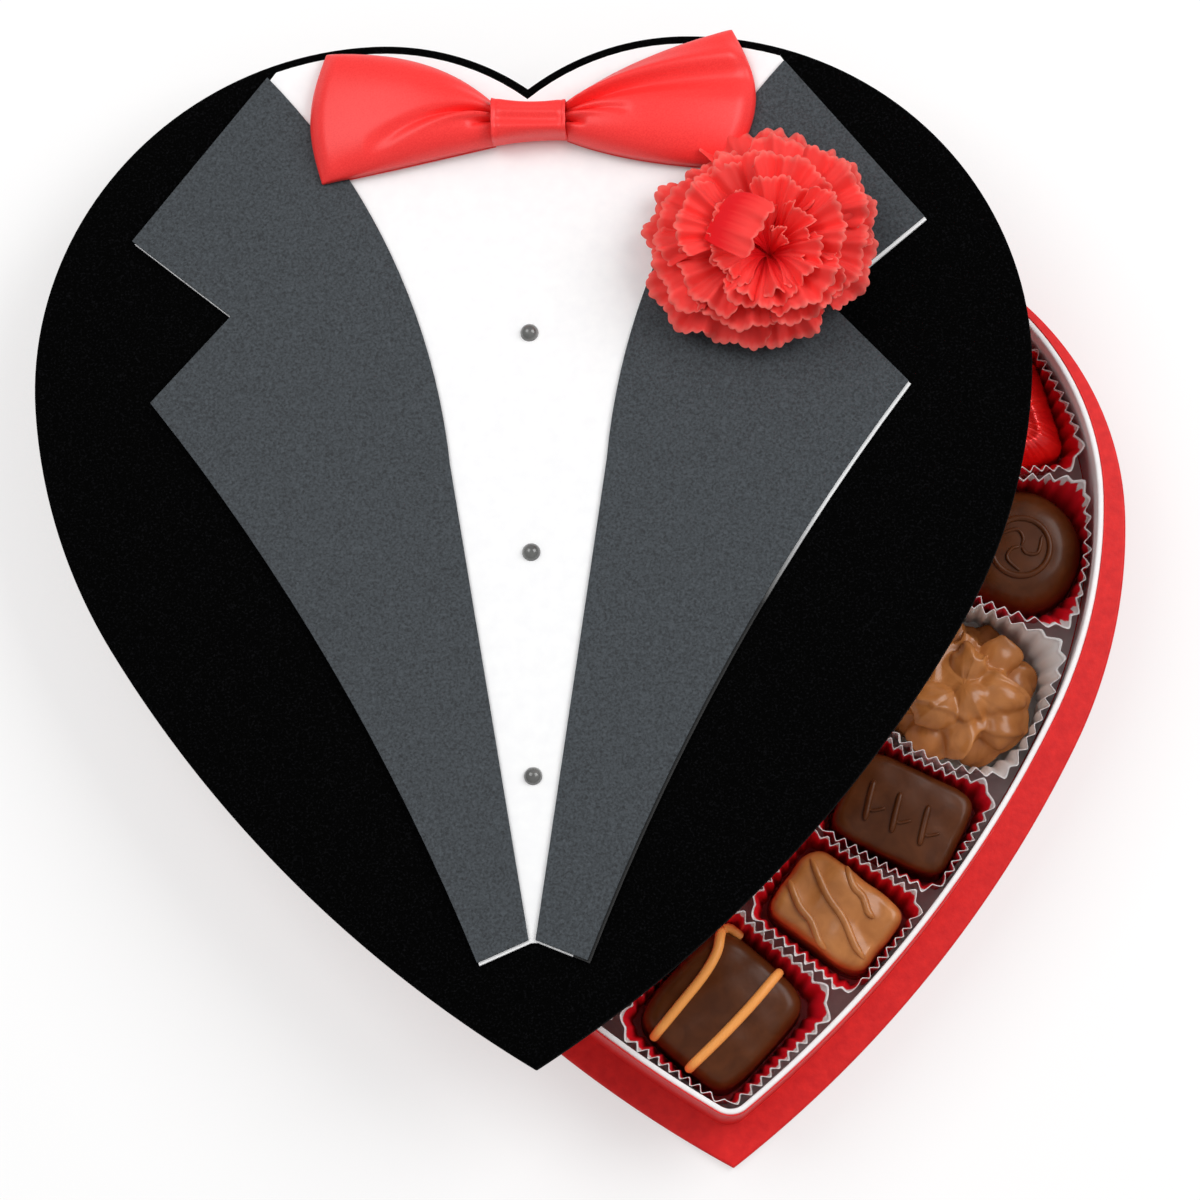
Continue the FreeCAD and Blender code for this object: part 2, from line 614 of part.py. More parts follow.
def lid_pieces():
    """Board, flock, collar, lining, shirt front, lapels, studs, bow and flower, about the lid's heart."""
    collar_tip = NECK_TIP_RADIUS + COLLAR_CLEARANCE + COLLAR_BOARD
    board = heart_block(FLOCK, 0, LID_BOARD)
    lapel = lapel_face().extrude(UP * CARD)
    pieces = {
        "lid_board": board,
        "flock_cover": heart_block(0, 0, LID_TOP).cut(board),
        "lid_collar": heart_hoop(COLLAR_INSET, COLLAR_BOARD, -COLLAR_DEPTH, 0, collar_tip),
        "collar_wrap": heart_hoop(
            COLLAR_INSET - WRAP_PAPER, WRAP_PAPER, -COLLAR_DEPTH, 0, collar_tip + WRAP_PAPER,
        ),
        "lid_lining": heart_block(COLLAR_HOLLOW + LINING_CLEARANCE, -LINING, 0, NECK_TIP_RADIUS),
        "shirt_card": shirt_card(),
        "right_lapel": placed(lapel, -LAPEL_DRIFT, LAPEL_RISE, CARD_TOP),
        "left_lapel": placed(mirrored(lapel), -LAPEL_DRIFT, LAPEL_RISE, CARD_TOP),
    }
    for i in range(STUDS):
        pieces[f"stud_{i + 1}"] = placed(stud(), 0, STUD_TOP_Y - i * STUD_SPACING, CARD_TOP)
    wing = bow_wing()
    pieces["bow_right_wing"] = placed(wing, BOW_X, BOW_Y, LAPEL_TOP, BOW_TURN)
    pieces["bow_left_wing"] = placed(mirrored(wing), BOW_X, BOW_Y, LAPEL_TOP, BOW_TURN)
    pieces["bow_knot"] = placed(bow_knot(), BOW_X, BOW_Y, CARD_TOP, BOW_TURN)
    pieces["flower_calyx"] = placed(calyx(), FLOWER_X, FLOWER_Y, LAPEL_TOP)
    for i in range(PETAL_LAYERS):
        pieces[f"flower_petals_{i + 1}"] = placed(petal_layer(i), FLOWER_X, FLOWER_Y, LAPEL_TOP)
    return pieces


def furthest(shape, bearing):
    """How far a flat shape reaches from the origin in a direction, degrees."""
    return placed(shape, turn=-bearing).optimalBoundingBox().XMax


def leaning_pose():
    """Where the lid comes to lean: its lining on the far rim, its collar where it crosses the rim.

    Along the slide the lining's face is SEAT_GAP over the rim's furthest point, and the collar's edge is
    SEAT_GAP over the furthest place where collar and neck cross, so the collar's depth sets the lean.
    """
    reach = math.hypot(LID_SLIDE_X, LID_SLIDE_Y)
    bearing = math.degrees(math.atan2(LID_SLIDE_Y, LID_SLIDE_X))
    neck = heart_face(WRAP_INSET).cut(heart_face(HOLLOW_INSET))
    collar = heart_face(COLLAR_INSET - WRAP_PAPER).cut(heart_face(COLLAR_HOLLOW))
    crossing = neck.common(placed(collar, LID_SLIDE_X, LID_SLIDE_Y, 0, LID_TURN))
    far_rim = furthest(neck, bearing)
    lean = math.asin((COLLAR_DEPTH - LINING) / (far_rim - furthest(crossing, bearing)))
    height = RIM + SEAT_GAP + LINING / math.cos(lean) + (far_rim - reach) * math.tan(lean)
    across = Vector(-LID_SLIDE_Y, LID_SLIDE_X, 0)
    tilt = FreeCAD.Rotation(across, math.degrees(lean)).multiply(FreeCAD.Rotation(UP, LID_TURN))
    return FreeCAD.Placement(Vector(LID_SLIDE_X, LID_SLIDE_Y, height), tilt)


def main():
    os.makedirs("parts", exist_ok=True)
    pieces = tray_pieces()
    pose = leaning_pose()
    for node, shape in lid_pieces().items():
        shape.Placement = pose.multiply(shape.Placement)
        pieces[node] = shape
    for node, shape in pieces.items():
        shape.exportStep(f"parts/{node}.step")
        print(f"{node}: {len(shape.Solids)} solids, {shape.Volume:.1f} mm3, valid {shape.isValid()}")
    print("lid pose", pose)


main()
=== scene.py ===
"""Looks of a heart-shaped chocolate box whose lid is dressed as a dinner jacket.

Sizes in the classes are millimetres; meshes are metres. Shapes on the lid are worked out flat, about the
lid's own heart, and then laid into the lean that the lid's board has in the frame.
"""
import logging
import math
from dataclasses import dataclass, field
from enum import Enum
from typing import Any, Optional, Sequence

import bpy
import numpy as np
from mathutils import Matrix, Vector


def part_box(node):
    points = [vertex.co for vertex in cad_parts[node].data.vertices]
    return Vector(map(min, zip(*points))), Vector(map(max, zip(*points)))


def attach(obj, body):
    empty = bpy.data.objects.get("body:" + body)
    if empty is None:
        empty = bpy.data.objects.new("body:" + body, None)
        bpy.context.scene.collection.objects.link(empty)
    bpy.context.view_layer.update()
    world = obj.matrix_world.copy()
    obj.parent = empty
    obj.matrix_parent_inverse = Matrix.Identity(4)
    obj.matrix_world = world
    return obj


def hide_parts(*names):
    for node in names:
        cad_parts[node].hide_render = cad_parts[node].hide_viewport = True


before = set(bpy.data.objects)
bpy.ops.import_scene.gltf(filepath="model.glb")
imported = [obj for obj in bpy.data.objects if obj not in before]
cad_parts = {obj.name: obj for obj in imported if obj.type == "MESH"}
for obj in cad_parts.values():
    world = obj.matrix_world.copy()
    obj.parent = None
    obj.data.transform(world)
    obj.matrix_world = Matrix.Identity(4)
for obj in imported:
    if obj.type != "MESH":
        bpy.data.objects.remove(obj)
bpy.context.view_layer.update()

MM = 0.001
IMAGE_WIDTH = 1200          # pixels of the photograph's square frame
NEARLY = 1e-9               # a length that counts as nought
Array = np.ndarray
Material = bpy.types.Material
Node = bpy.types.Node
Socket = bpy.types.NodeSocket
Tree = bpy.types.NodeTree
Points = tuple[tuple[float, float], ...]
LOG = logging.getLogger("chocolate_box")


class Body(Enum):
    """The two bodies that pieces ride on."""

    TRAY = "tray"
    LID = "lid"


class Hand(Enum):
    """Which side of the lid a piece is on."""

    LEFT = -1
    RIGHT = 1


# Small tools for meshes and materials

def linear(colour: str) -> tuple[float, float, float, float]:
    """Turn an sRGB hex colour into linear RGBA.

    Args:
        colour: six hex digits.

    Returns:
        Linear red, green, blue and full alpha.
    """
    parts = np.array([int(colour[i:i + 2], 16) for i in (0, 2, 4)]) / 255
    low = parts / 12.92
    high = ((parts + 0.055) / 1.055) ** 2.4
    return (*np.where(parts <= 0.04045, low, high).tolist(), 1.0)


def per(size_mm: float) -> float:
    """Pattern scale in cycles per metre for a feature of a size in millimetres."""
    return 1 / (size_mm * MM)


def feed(tree: Tree, node: Node, inputs: dict[Any, Any]) -> None:
    """Set or link a node's inputs.

    Args:
        tree: the node's tree.
        node: the node.
        inputs: input name or number to a value, or to an output socket to link.
    """
    for key, value in inputs.items():
        if isinstance(value, Socket):
            tree.links.new(value, node.inputs[key])
        else:
            node.inputs[key].default_value = value


def add_node(tree: Tree, kind: str, inputs: dict[Any, Any], **settings: Any) -> Node:
    """Add a node, set its properties, and set or link its inputs.

    Args:
        tree: node tree of the material or world.
        kind: node type without its "ShaderNode" head.
        inputs: see feed.
        settings: properties of the node.

    Returns:
        The new node.
    """
    node = tree.nodes.new("ShaderNode" + kind)
    for name, value in settings.items():
        setattr(node, name, value)
    feed(tree, node, inputs)
    return node


def ramp(tree: Tree, factor: Socket, stops: Sequence[tuple[float, str]]) -> Socket:
    """Colour along a factor.

    Args:
        tree: node tree.
        factor: socket from 0 to 1.
        stops: place and sRGB hex colour of each stop, two or more.

    Returns:
        The colour socket.
    """
    node = add_node(tree, "ValToRGB", {"Fac": factor})
    elements = node.color_ramp.elements
    while len(elements) < len(stops):
        elements.new(0.5)
    for element, (place, colour) in zip(elements, stops):
        element.position = place
        element.color = linear(colour)
    return node.outputs["Color"]


def relief(tree: Tree, height: Socket, depth_mm: float) -> Socket:
    """Normal of a bump of a real depth, from a height that runs from 0 to 1."""
    return add_node(tree, "Bump", {"Height": height, "Distance": depth_mm * MM}).outputs["Normal"]


@dataclass
class Surface:
    """A shape in millimetres: points, faces as corner lists, and named values per point."""

    points: Array
    faces: list[list[int]]
    values: dict[str, Array] = field(default_factory=dict)


def grid(points: Array, loop_rows: bool = False, loop_columns: bool = False,
         caps: tuple[bool, bool] = (False, False), **values: Array) -> Surface:
    """Quads over an array of points; columns that run anticlockwise while rows rise face outwards.

    Args:
        points: rows by columns by 3.
        loop_rows: join the last row to the first.
        loop_columns: join the last column to the first.
        caps: close the first row, the last row, with one face.
        values: named arrays of rows by columns.

    Returns:
        The surface.
    """
    rows, columns = points.shape[:2]
    index = np.arange(rows * columns).reshape(rows, columns)
    first, last = index[0], index[-1]
    if loop_columns:
        index = np.concatenate([index, index[:, :1]], axis=1)
    if loop_rows:
        index = np.concatenate([index, index[:1]], axis=0)
    corners = [index[:-1, :-1], index[:-1, 1:], index[1:, 1:], index[1:, :-1]]
    faces = np.stack(corners, axis=-1).reshape(-1, 4).tolist()
    if caps[0]:
        faces.append(first[::-1].tolist())
    if caps[1]:
        faces.append(last.tolist())
    flat = {name: np.broadcast_to(value, (rows, columns)).ravel() for name, value in values.items()}
    return Surface(points.reshape(-1, 3), faces, flat)


def joined(surfaces: Sequence[Surface]) -> Surface:
    """Several surfaces as one; a value that one of them lacks is zero there.

    Args:
        surfaces: one or more.

    Returns:
        The whole.
    """
    starts = np.cumsum([0] + [len(s.points) for s in surfaces]).tolist()
    faces = [[corner + start for corner in face] for s, start in zip(surfaces, starts) for face in s.faces]
    names = {name for s in surfaces for name in s.values}
    values = {n: np.concatenate([s.values.get(n, np.zeros(len(s.points))) for s in surfaces]) for n in names}
    return Surface(np.concatenate([s.points for s in surfaces]), faces, values)


def show(name: str, surface: Surface, material: Material, body: Body,
         replaces: Sequence[str] = (), crease: float = 50.0) -> bpy.types.Object:
    """Make a piece of the object from a surface.

    Args:
        name: piece name.
        surface: shape in the row frame, millimetres.
        material: its finish.
        body: what it rides on.
        replaces: frame nodes that it stands for.
        crease: edges that bend by more degrees than this stay sharp.

    Returns:
        The new object.
    """
    mesh = bpy.data.meshes.new(name)
    mesh.from_pydata((surface.points * MM).tolist(), [], surface.faces)
    mesh.polygons.foreach_set("use_smooth", np.ones(len(mesh.polygons), bool))
    mesh.set_sharp_from_angle(angle=math.radians(crease))
    for label, value in surface.values.items():
        mesh.attributes.new(label, "FLOAT", "POINT").data.foreach_set("value", value.astype(np.float32))
    mesh.materials.append(material)
    mesh.update()
    piece = bpy.data.objects.new(name, mesh)
    bpy.context.scene.collection.objects.link(piece)
    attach(piece, body.value)
    if replaces:
        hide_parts(*replaces)
    LOG.info("%s: %d points, %s", name, len(surface.points), material.name)
    return piece


def dress(material: Material, *nodes: str) -> None:
    """Give frame nodes, whose shapes are right as they are, their finish.

    Args:
        material: the finish.
        nodes: their names.
    """
    for node in nodes:
        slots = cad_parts[node].data.materials
        slots.clear()
        slots.append(material)
        LOG.info("%s: frame node, %s", node, material.name)


def node_points(node: str) -> Array:
    """A frame node's points.

    Args:
        node: its name.

    Returns:
        Points by 3, in millimetres.
    """
    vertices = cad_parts[node].data.vertices
    flat = np.zeros(3 * len(vertices))
    vertices.foreach_get("co", flat)
    return flat.reshape(-1, 3) / MM


def node_normals(node: str) -> tuple[Array, Array]:
    """A frame node's faces.

    Args:
        node: its name.

    Returns:
        Normals by 3, and areas.
    """
    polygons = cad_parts[node].data.polygons
    normals = np.zeros(3 * len(polygons))
    areas = np.zeros(len(polygons))
    polygons.foreach_get("normal", normals)
    polygons.foreach_get("area", areas)
    return normals.reshape(-1, 3), areas


def unit(vector: Array) -> Array:
    """The vector at length one."""
    return vector / np.linalg.norm(vector)


@dataclass(frozen=True)
class Axes:
    """A flat frame that pieces are worked out in: its origin and its x, y and up directions as rows."""

    origin: Array
    rows: Array

    def flat(self, points: Array) -> Array:
        """Points by 2 of a level frame, carried into the row frame."""
        return self.origin[:2] + points @ self.rows[:2, :2]

    def lay(self, surface: Surface) -> Surface:
        """The surface carried from these axes into the row frame."""
        return Surface(self.origin + surface.points @ self.rows, surface.faces, surface.values)

    @classmethod
    def of_lid(cls) -> "Axes":
        """Axes of the leaning lid: up from its board's top face, y along the studs, origin under the board.

        Returns:
            The lid's axes.
        """
        normals, areas = node_normals("lid_board")
        top = normals[:, 2] > 0.9
        up = unit((normals[top] * areas[top, None]).sum(0))
        line = node_points("stud_1").mean(0) - node_points("stud_3").mean(0)
        y = unit(line - up * (line @ up))
        rows = np.stack([np.cross(y, up), y, up])
        board = node_points("lid_board") @ rows.T
        low, high = board.min(0), board.max(0)
        return cls(np.array([low[0] + high[0], low[1] + high[1], 2 * low[2]]) / 2 @ rows, rows)

    @classmethod
    def of_block(cls, node: str) -> "Axes":
        """Axes of an oblong chocolate in the tray: x along its longer side, away from the tray's middle.

        Sides of an oblong repeat every quarter turn, so the turn is a quarter of the mean angle of the side
        normals times four.

        Args:
            node: frame node of the chocolate.

        Returns:
            Its axes, with the origin under its middle.
        """
        normals, areas = node_normals(node)
        side = np.abs(normals[:, 2]) < 0.5
        angle = np.arctan2(normals[side, 1], normals[side, 0])
        turn = np.angle((areas[side] * np.exp(4j * angle)).sum()) / 4
        points = node_points(node)
        turns = [turn, turn + math.pi / 2]
        spans = [np.ptp(points[:, 0] * math.cos(t) + points[:, 1] * math.sin(t)) for t in turns]
        turn = turns[int(np.argmax(spans))]
        middle = (points.min(0) + points.max(0)) / 2
        x = np.array([math.cos(turn), math.sin(turn), 0])
        x = x if x @ middle >= 0 else -x
        up = np.array([0.0, 0.0, 1.0])
        return cls(np.array([middle[0], middle[1], points[:, 2].min()]), np.stack([x, np.cross(up, x), up]))


def spaced(path: Array, count: int, closed: bool = False) -> Array:
    """Points at even spacing along a path.

    Args:
        path: points by any number of coordinates.
        count: how many points to return.
        closed: the path goes on from its last point to its first.

    Returns:
        count points.
    """
    whole = np.concatenate([path, path[:1]]) if closed else path
    run = np.concatenate([[0], np.cumsum(np.linalg.norm(np.diff(whole, axis=0), axis=1))])
    steps = np.linspace(0, run[-1], count, endpoint=not closed)
    return np.stack([np.interp(steps, run, column) for column in whole.T], axis=1)


def curve(points: Points, count: int) -> Array:
    """Smooth path through points: a cubic Hermite spline whose slope at each point joins its neighbours.

    Args:
        points: two or more.
        count: how many points to return, evenly spaced.

    Returns:
        count by 2.
    """
    knots = np.array(points, float)
    slope = np.gradient(knots, axis=0)
    place = np.linspace(0, len(knots) - 1, 8 * count)
    i = np.minimum(place.astype(int), len(knots) - 2)
    t = (place - i)[:, None]
    ends = knots[i] * (1 + 2 * t) * (1 - t) ** 2 + knots[i + 1] * t ** 2 * (3 - 2 * t)
    return spaced(ends + slope[i] * t * (1 - t) ** 2 - slope[i + 1] * t ** 2 * (1 - t), count)


def circle(count: int) -> Array:
    """Angles of points evenly round a circle."""
    return np.linspace(0, 2 * math.pi, count, endpoint=False)


def oblong(half_x: float, half_y: float, power: float, count: int) -> Array:
    """Closed outline |x/a|^p + |y/b|^p = 1: at a polar angle its radius is (|cos/a|^p + |sin/b|^p)^(-1/p).

    Args:
        half_x: a in the formula.
        half_y: b in the formula.
        power: p in the formula; 2 is an ellipse, and more is squarer.
        count: how many points to return, evenly spaced.

    Returns:
        count by 2, anticlockwise.
    """
    angle = circle(8 * count)
    cos, sin = np.cos(angle), np.sin(angle)
    radius = (np.abs(cos / half_x) ** power + np.abs(sin / half_y) ** power) ** (-1 / power)
    return spaced(np.stack([radius * cos, radius * sin], axis=1), count, closed=True)


def tube(path: Array, radius: Array, sides: int = 12) -> Surface:
    """Round tube along a path; each ring stands square to the path, one axis level.

    Args:
        path: points by 3.
        radius: one per point.
        sides: points round the tube.

    Returns:
        Closed surface.
    """
    along = np.gradient(path, axis=0)
    along /= np.linalg.norm(along, axis=1, keepdims=True)
    level = np.cross(along, [0.0, 0.0, 1.0])
    level /= np.maximum(np.linalg.norm(level, axis=1, keepdims=True), NEARLY)
    over = np.cross(level, along)
    angle = circle(sides)
    ring = level[:, None] * np.cos(angle)[:, None] + over[:, None] * np.sin(angle)[:, None]
    points = path[:, None] + ring * radius[:, None, None]
    return grid(points[:, ::-1], loop_columns=True, caps=(True, True))


def rays(tilt: Array, turn: Array) -> Array:
    """Directions at tilts from straight up and at turns round it."""
    level = np.sin(tilt)
    return np.stack(np.broadcast_arrays(level * np.cos(turn), level * np.sin(turn), np.cos(tilt)), axis=-1)


# Finishes

def mixed(tree: Tree, factor: Socket, first: Socket, second: str) -> Socket:
    """A colour that turns into an sRGB hex colour as the factor rises."""
    inputs = {"Factor": factor, 6: first, 7: linear(second)}
    return add_node(tree, "Mix", inputs, data_type="RGBA").outputs[2]


def reckon(tree: Tree, operation: str, first: Any, second: Any) -> Socket:
    """Two numbers or sockets put together by a named operation."""
    return add_node(tree, "Math", {0: first, 1: second}, operation=operation).outputs["Value"]


@dataclass(frozen=True)
class Grain:
    """Cloudy pattern: the size of its features, how many finer octaves it has, and how far it is bent."""

    size_mm: float
    detail: float = 3.0
    bent: float = 0.0

    def factor(self, tree: Tree, where: Socket) -> Socket:
        """Its value from 0 to 1 at a place on the object."""
        inputs = {"Vector": where, "Scale": per(self.size_mm), "Detail": self.detail, "Distortion": self.bent}
        return add_node(tree, "TexNoise", inputs).outputs["Fac"]


@dataclass(frozen=True)
class Creases(Grain):
    """Sharp creases along the edges of cells of a size."""

    def factor(self, tree: Tree, where: Socket) -> Socket:
        """How near a crease a place on the object is."""
        inputs = {"Vector": where, "Scale": per(self.size_mm)}
        return add_node(tree, "TexVoronoi", inputs, feature="F2").outputs["Distance"]


@dataclass(frozen=True)
class Carried:
    """A named value that the surface carries at its points."""

    label: str

    def factor(self, tree: Tree, where: Socket) -> Socket:
        """The value at a place on the object."""
        return add_node(tree, "Attribute", {}, attribute_name=self.label).outputs["Fac"]


@dataclass(frozen=True)
class Finish:
    """A named material: sRGB hex colours along a tone, a grain for the relief, and the shader's constants."""

    name: str
    tone: Grain | Carried
    stops: tuple[tuple[float, str], ...]
    grain: Optional[Grain]
    depth_mm: float
    shader: dict[str, Any]

    def material(self) -> Material:
        """Build the material, once.

        Returns:
            The material.
        """
        made = bpy.data.materials.get(self.name)
        if made is None:
            made = bpy.data.materials.new(self.name)
            made.use_nodes = True
            tree = made.node_tree
            where = add_node(tree, "TexCoord", {}).outputs["Object"]
            inputs = {**self.shader, "Base Color": self.colour(tree, where)}
            if self.grain is not None:
                inputs["Normal"] = relief(tree, self.grain.factor(tree, where), self.depth_mm)
            feed(tree, tree.nodes["Principled BSDF"], inputs)
        return made

    def colour(self, tree: Tree, where: Socket) -> Socket:
        """Colour at a place on the object."""
        return ramp(tree, self.tone.factor(tree, where), self.stops)


@dataclass(frozen=True)
class Couverture(Finish):
    """Chocolate with poured lines, which are marked by a value of the surface, in a colour of their own."""

    line: str

    def colour(self, tree: Tree, where: Socket) -> Socket:
        """Colour of the body or of a line."""
        return mixed(tree, Carried("poured").factor(tree, where), super().colour(tree, where), self.line)


@dataclass(frozen=True)
class InkedCard(Finish):
    """Card whose cut edge is inked black along the lower right, where the photograph shows no white.

    The ink's side is a slanting line at a reach from the lid's middle, which runs under the lapel, and the
    ink sets in within the blur beside it. It fades in from one height down to another.
    """

    axes: Axes
    ink: str = "060606"
    reach: float = 42.9
    slant: float = 0.358
    blur: float = 0.1
    fade: tuple[float, float] = (8.0, -16.0)

    def colour(self, tree: Tree, where: Socket) -> Socket:
        """Colour of the card or of the ink.

        Args:
            tree: the material's nodes.
            where: place on the object.

        Returns:
            The colour.
        """
        right, up = self.axes.rows[:2]
        shares = []
        side = (right - self.slant * up, self.reach, self.reach + self.blur)
        for way, start, end in (side, (up, *self.fade)):
            along = add_node(tree, "VectorMath", {0: where, 1: tuple(way)}, operation="DOT_PRODUCT")
            shift = float(self.axes.origin @ way)
            limits = {"From Min": (start + shift) * MM, "From Max": (end + shift) * MM}
            share = add_node(tree, "MapRange", {"Value": along.outputs["Value"], **limits})
            shares.append(share.outputs["Result"])
        return mixed(tree, reckon(tree, "MULTIPLY", *shares), super().colour(tree, where), self.ink)


# Printed paper: bright red with a low shine, a faint mottle and a shallow relief of fibres
RED_PAPER = Finish("printed_red_paper", Grain(2.4), ((0.3, "dc161a"), (0.7, "ee2422")), Grain(0.8, 4.0), 0.05,
                   {"Roughness": 0.5, "IOR": 1.5, "Specular IOR Level": 0.3})
# Box board: clean white and smooth
WHITE_BOARD = Finish("white_box_board", Grain(2.2), ((0.3, "f3f0f0"), (0.7, "faf8f8")), Grain(0.6, 4.0), 0.03,
                     {"Roughness": 0.6, "IOR": 1.5})
# Lining paper: a duller white
WHITE_PAPER = Finish("white_lining_paper", Grain(2.2), ((0.3, "ebe7e6"), (0.7, "f3f0ef")),
                     Grain(0.6, 4.0), 0.03, {"Roughness": 0.65, "IOR": 1.5})
# Recycled board: dull grey with coarse fibres
GREY_BOARD = Finish("grey_box_board", Grain(1.8), ((0.3, "9c968c"), (0.7, "b3aea4")), Grain(0.9, 4.0), 0.06,
                    {"Roughness": 0.8, "IOR": 1.5})
# Plastic from a cheap mould: leaf green with a soft shine, faintly uneven
CALYX = Finish("moulded_green_plastic", Grain(4.0), ((0.3, "2f6428"), (0.7, "3f7a34")), Grain(1.2, 4.0), 0.02,
               {"Roughness": 0.45, "IOR": 1.5})
# Nylon pile: swallows nearly all light, with a few paler specks of stray fibre
BLACK_FLOCK = Finish("black_nylon_flock", Grain(0.5, 2.0), ((0.52, "020202"), (0.8, "121214")),
                     Grain(0.5, 2.0), 0.12,
                     {"Roughness": 1.0, "Specular IOR Level": 0.03, "Sheen Weight": 0.015,
                      "Sheen Roughness": 0.4})
# Card embossed with a felt grain: short wavy ridges half a millimetre apart; the colour follows the relief's
# grain, painted shade in the valleys and painted light on the crests
LAPEL_CARD = Finish("charcoal_felt_card", Grain(0.6, 3.0, 0.5), ((0.3, "2a2d30"), (0.72, "4a5055")),
                    Grain(0.6, 3.0, 0.5), 0.05, {"Roughness": 0.7, "IOR": 1.5, "Specular IOR Level": 0.3})
# Moulded resin: dark grey with a slow cloud, under a clear polish that holds a sharp highlight
STUD_RESIN = Finish("dark_half_pearl_resin", Grain(3.0, 2.0), ((0.3, "50504f"), (0.7, "6a6a68")), None, 0.0,
                    {"Roughness": 0.22, "IOR": 1.56, "Coat Weight": 0.6})
# Woven satin: coral red, long floats that shine softly; its colour is paler where the thread relief rises, a
# painted sparkle; threads coarser than the real 0.1 mm, to show
BOW_SATIN = Finish("coral_polyester_satin", Grain(0.35, 2.0), ((0.3, "f62c2d"), (0.7, "ff3d39")),
                   Grain(0.35, 2.0), 0.02,
                   {"Roughness": 0.38, "IOR": 1.5, "Specular IOR Level": 0.4, "Sheen Weight": 0.06,
                    "Sheen Tint": linear("ff7068")})
# Thin starched cloth with a fine weave: its colour runs from painted shade, deep red at the petals' bases in
# the hollows, through coral outwards to painted light, paler along the edge
PETAL_CLOTH = Finish("crimped_petal_cloth", Carried("outward"),
                     ((0.25, "f40a18"), (0.72, "ff403c"), (0.9, "ff403c"), (0.99, "ff6a62")),
                     Grain(0.3, 1.0), 0.015,
                     {"Roughness": 0.7, "IOR": 1.45, "Specular IOR Level": 0.3, "Sheen Weight": 0.03,
                      "Subsurface Weight": 0.3, "Subsurface Radius": (0.004, 0.0012, 0.001),
                      "Subsurface Scale": 0.5})
# Printed glassine: light comes through it, and it is bare white at the cut edge and in the tips of the flutes
GLASSINE = {"Roughness": 0.4, "IOR": 1.5, "Subsurface Weight": 0.4,
            "Subsurface Radius": (0.003, 0.002, 0.002), "Subsurface Scale": 0.5}
RED_CUP = Finish("red_glassine", Carried("bare"), ((0.4, "ff1526"), (0.6, "faf3f2")),
                 Grain(0.7), 0.02, GLASSINE)
WHITE_CUP = Finish("white_glassine", Carried("bare"), ((0.4, "fffaf8"), (0.6, "faf3f2")),
                   Grain(0.7), 0.02, GLASSINE)
# Tempered dark chocolate: satin gloss, a faint streak of bloom, caramel lines
DARK_CHOCOLATE = Couverture("dark_couverture", Grain(5.0, 4.0, 0.8), ((0.3, "4b250e"), (0.75, "5e3216")),
                            Grain(1.6), 0.03, {"Roughness": 0.3, "IOR": 1.46, "Specular IOR Level": 0.25},
                            line="ffab5a")
# Milk chocolate: paler and glossier
MILK_CHOCOLATE = Couverture("milk_couverture", Grain(5.0, 4.0, 0.8), ((0.3, "ab6a34"), (0.75, "c68248")),
                            Grain(1.6), 0.03, {"Roughness": 0.24, "IOR": 1.46, "Specular IOR Level": 0.5},
                            line="bd7c3e")
# Lacquered aluminium foil: bright red over metal, broken by sharp creases
RED_FOIL = Finish("red_lacquered_foil", Grain(4.0, 2.0), ((0.3, "e81418"), (0.7, "ff2a24")),
                  Creases(2.6), 0.1,
                  {"Metallic": 0.35, "Roughness": 0.32, "Coat Weight": 0.6, "Coat Roughness": 0.08})


# Heart-shaped board pieces

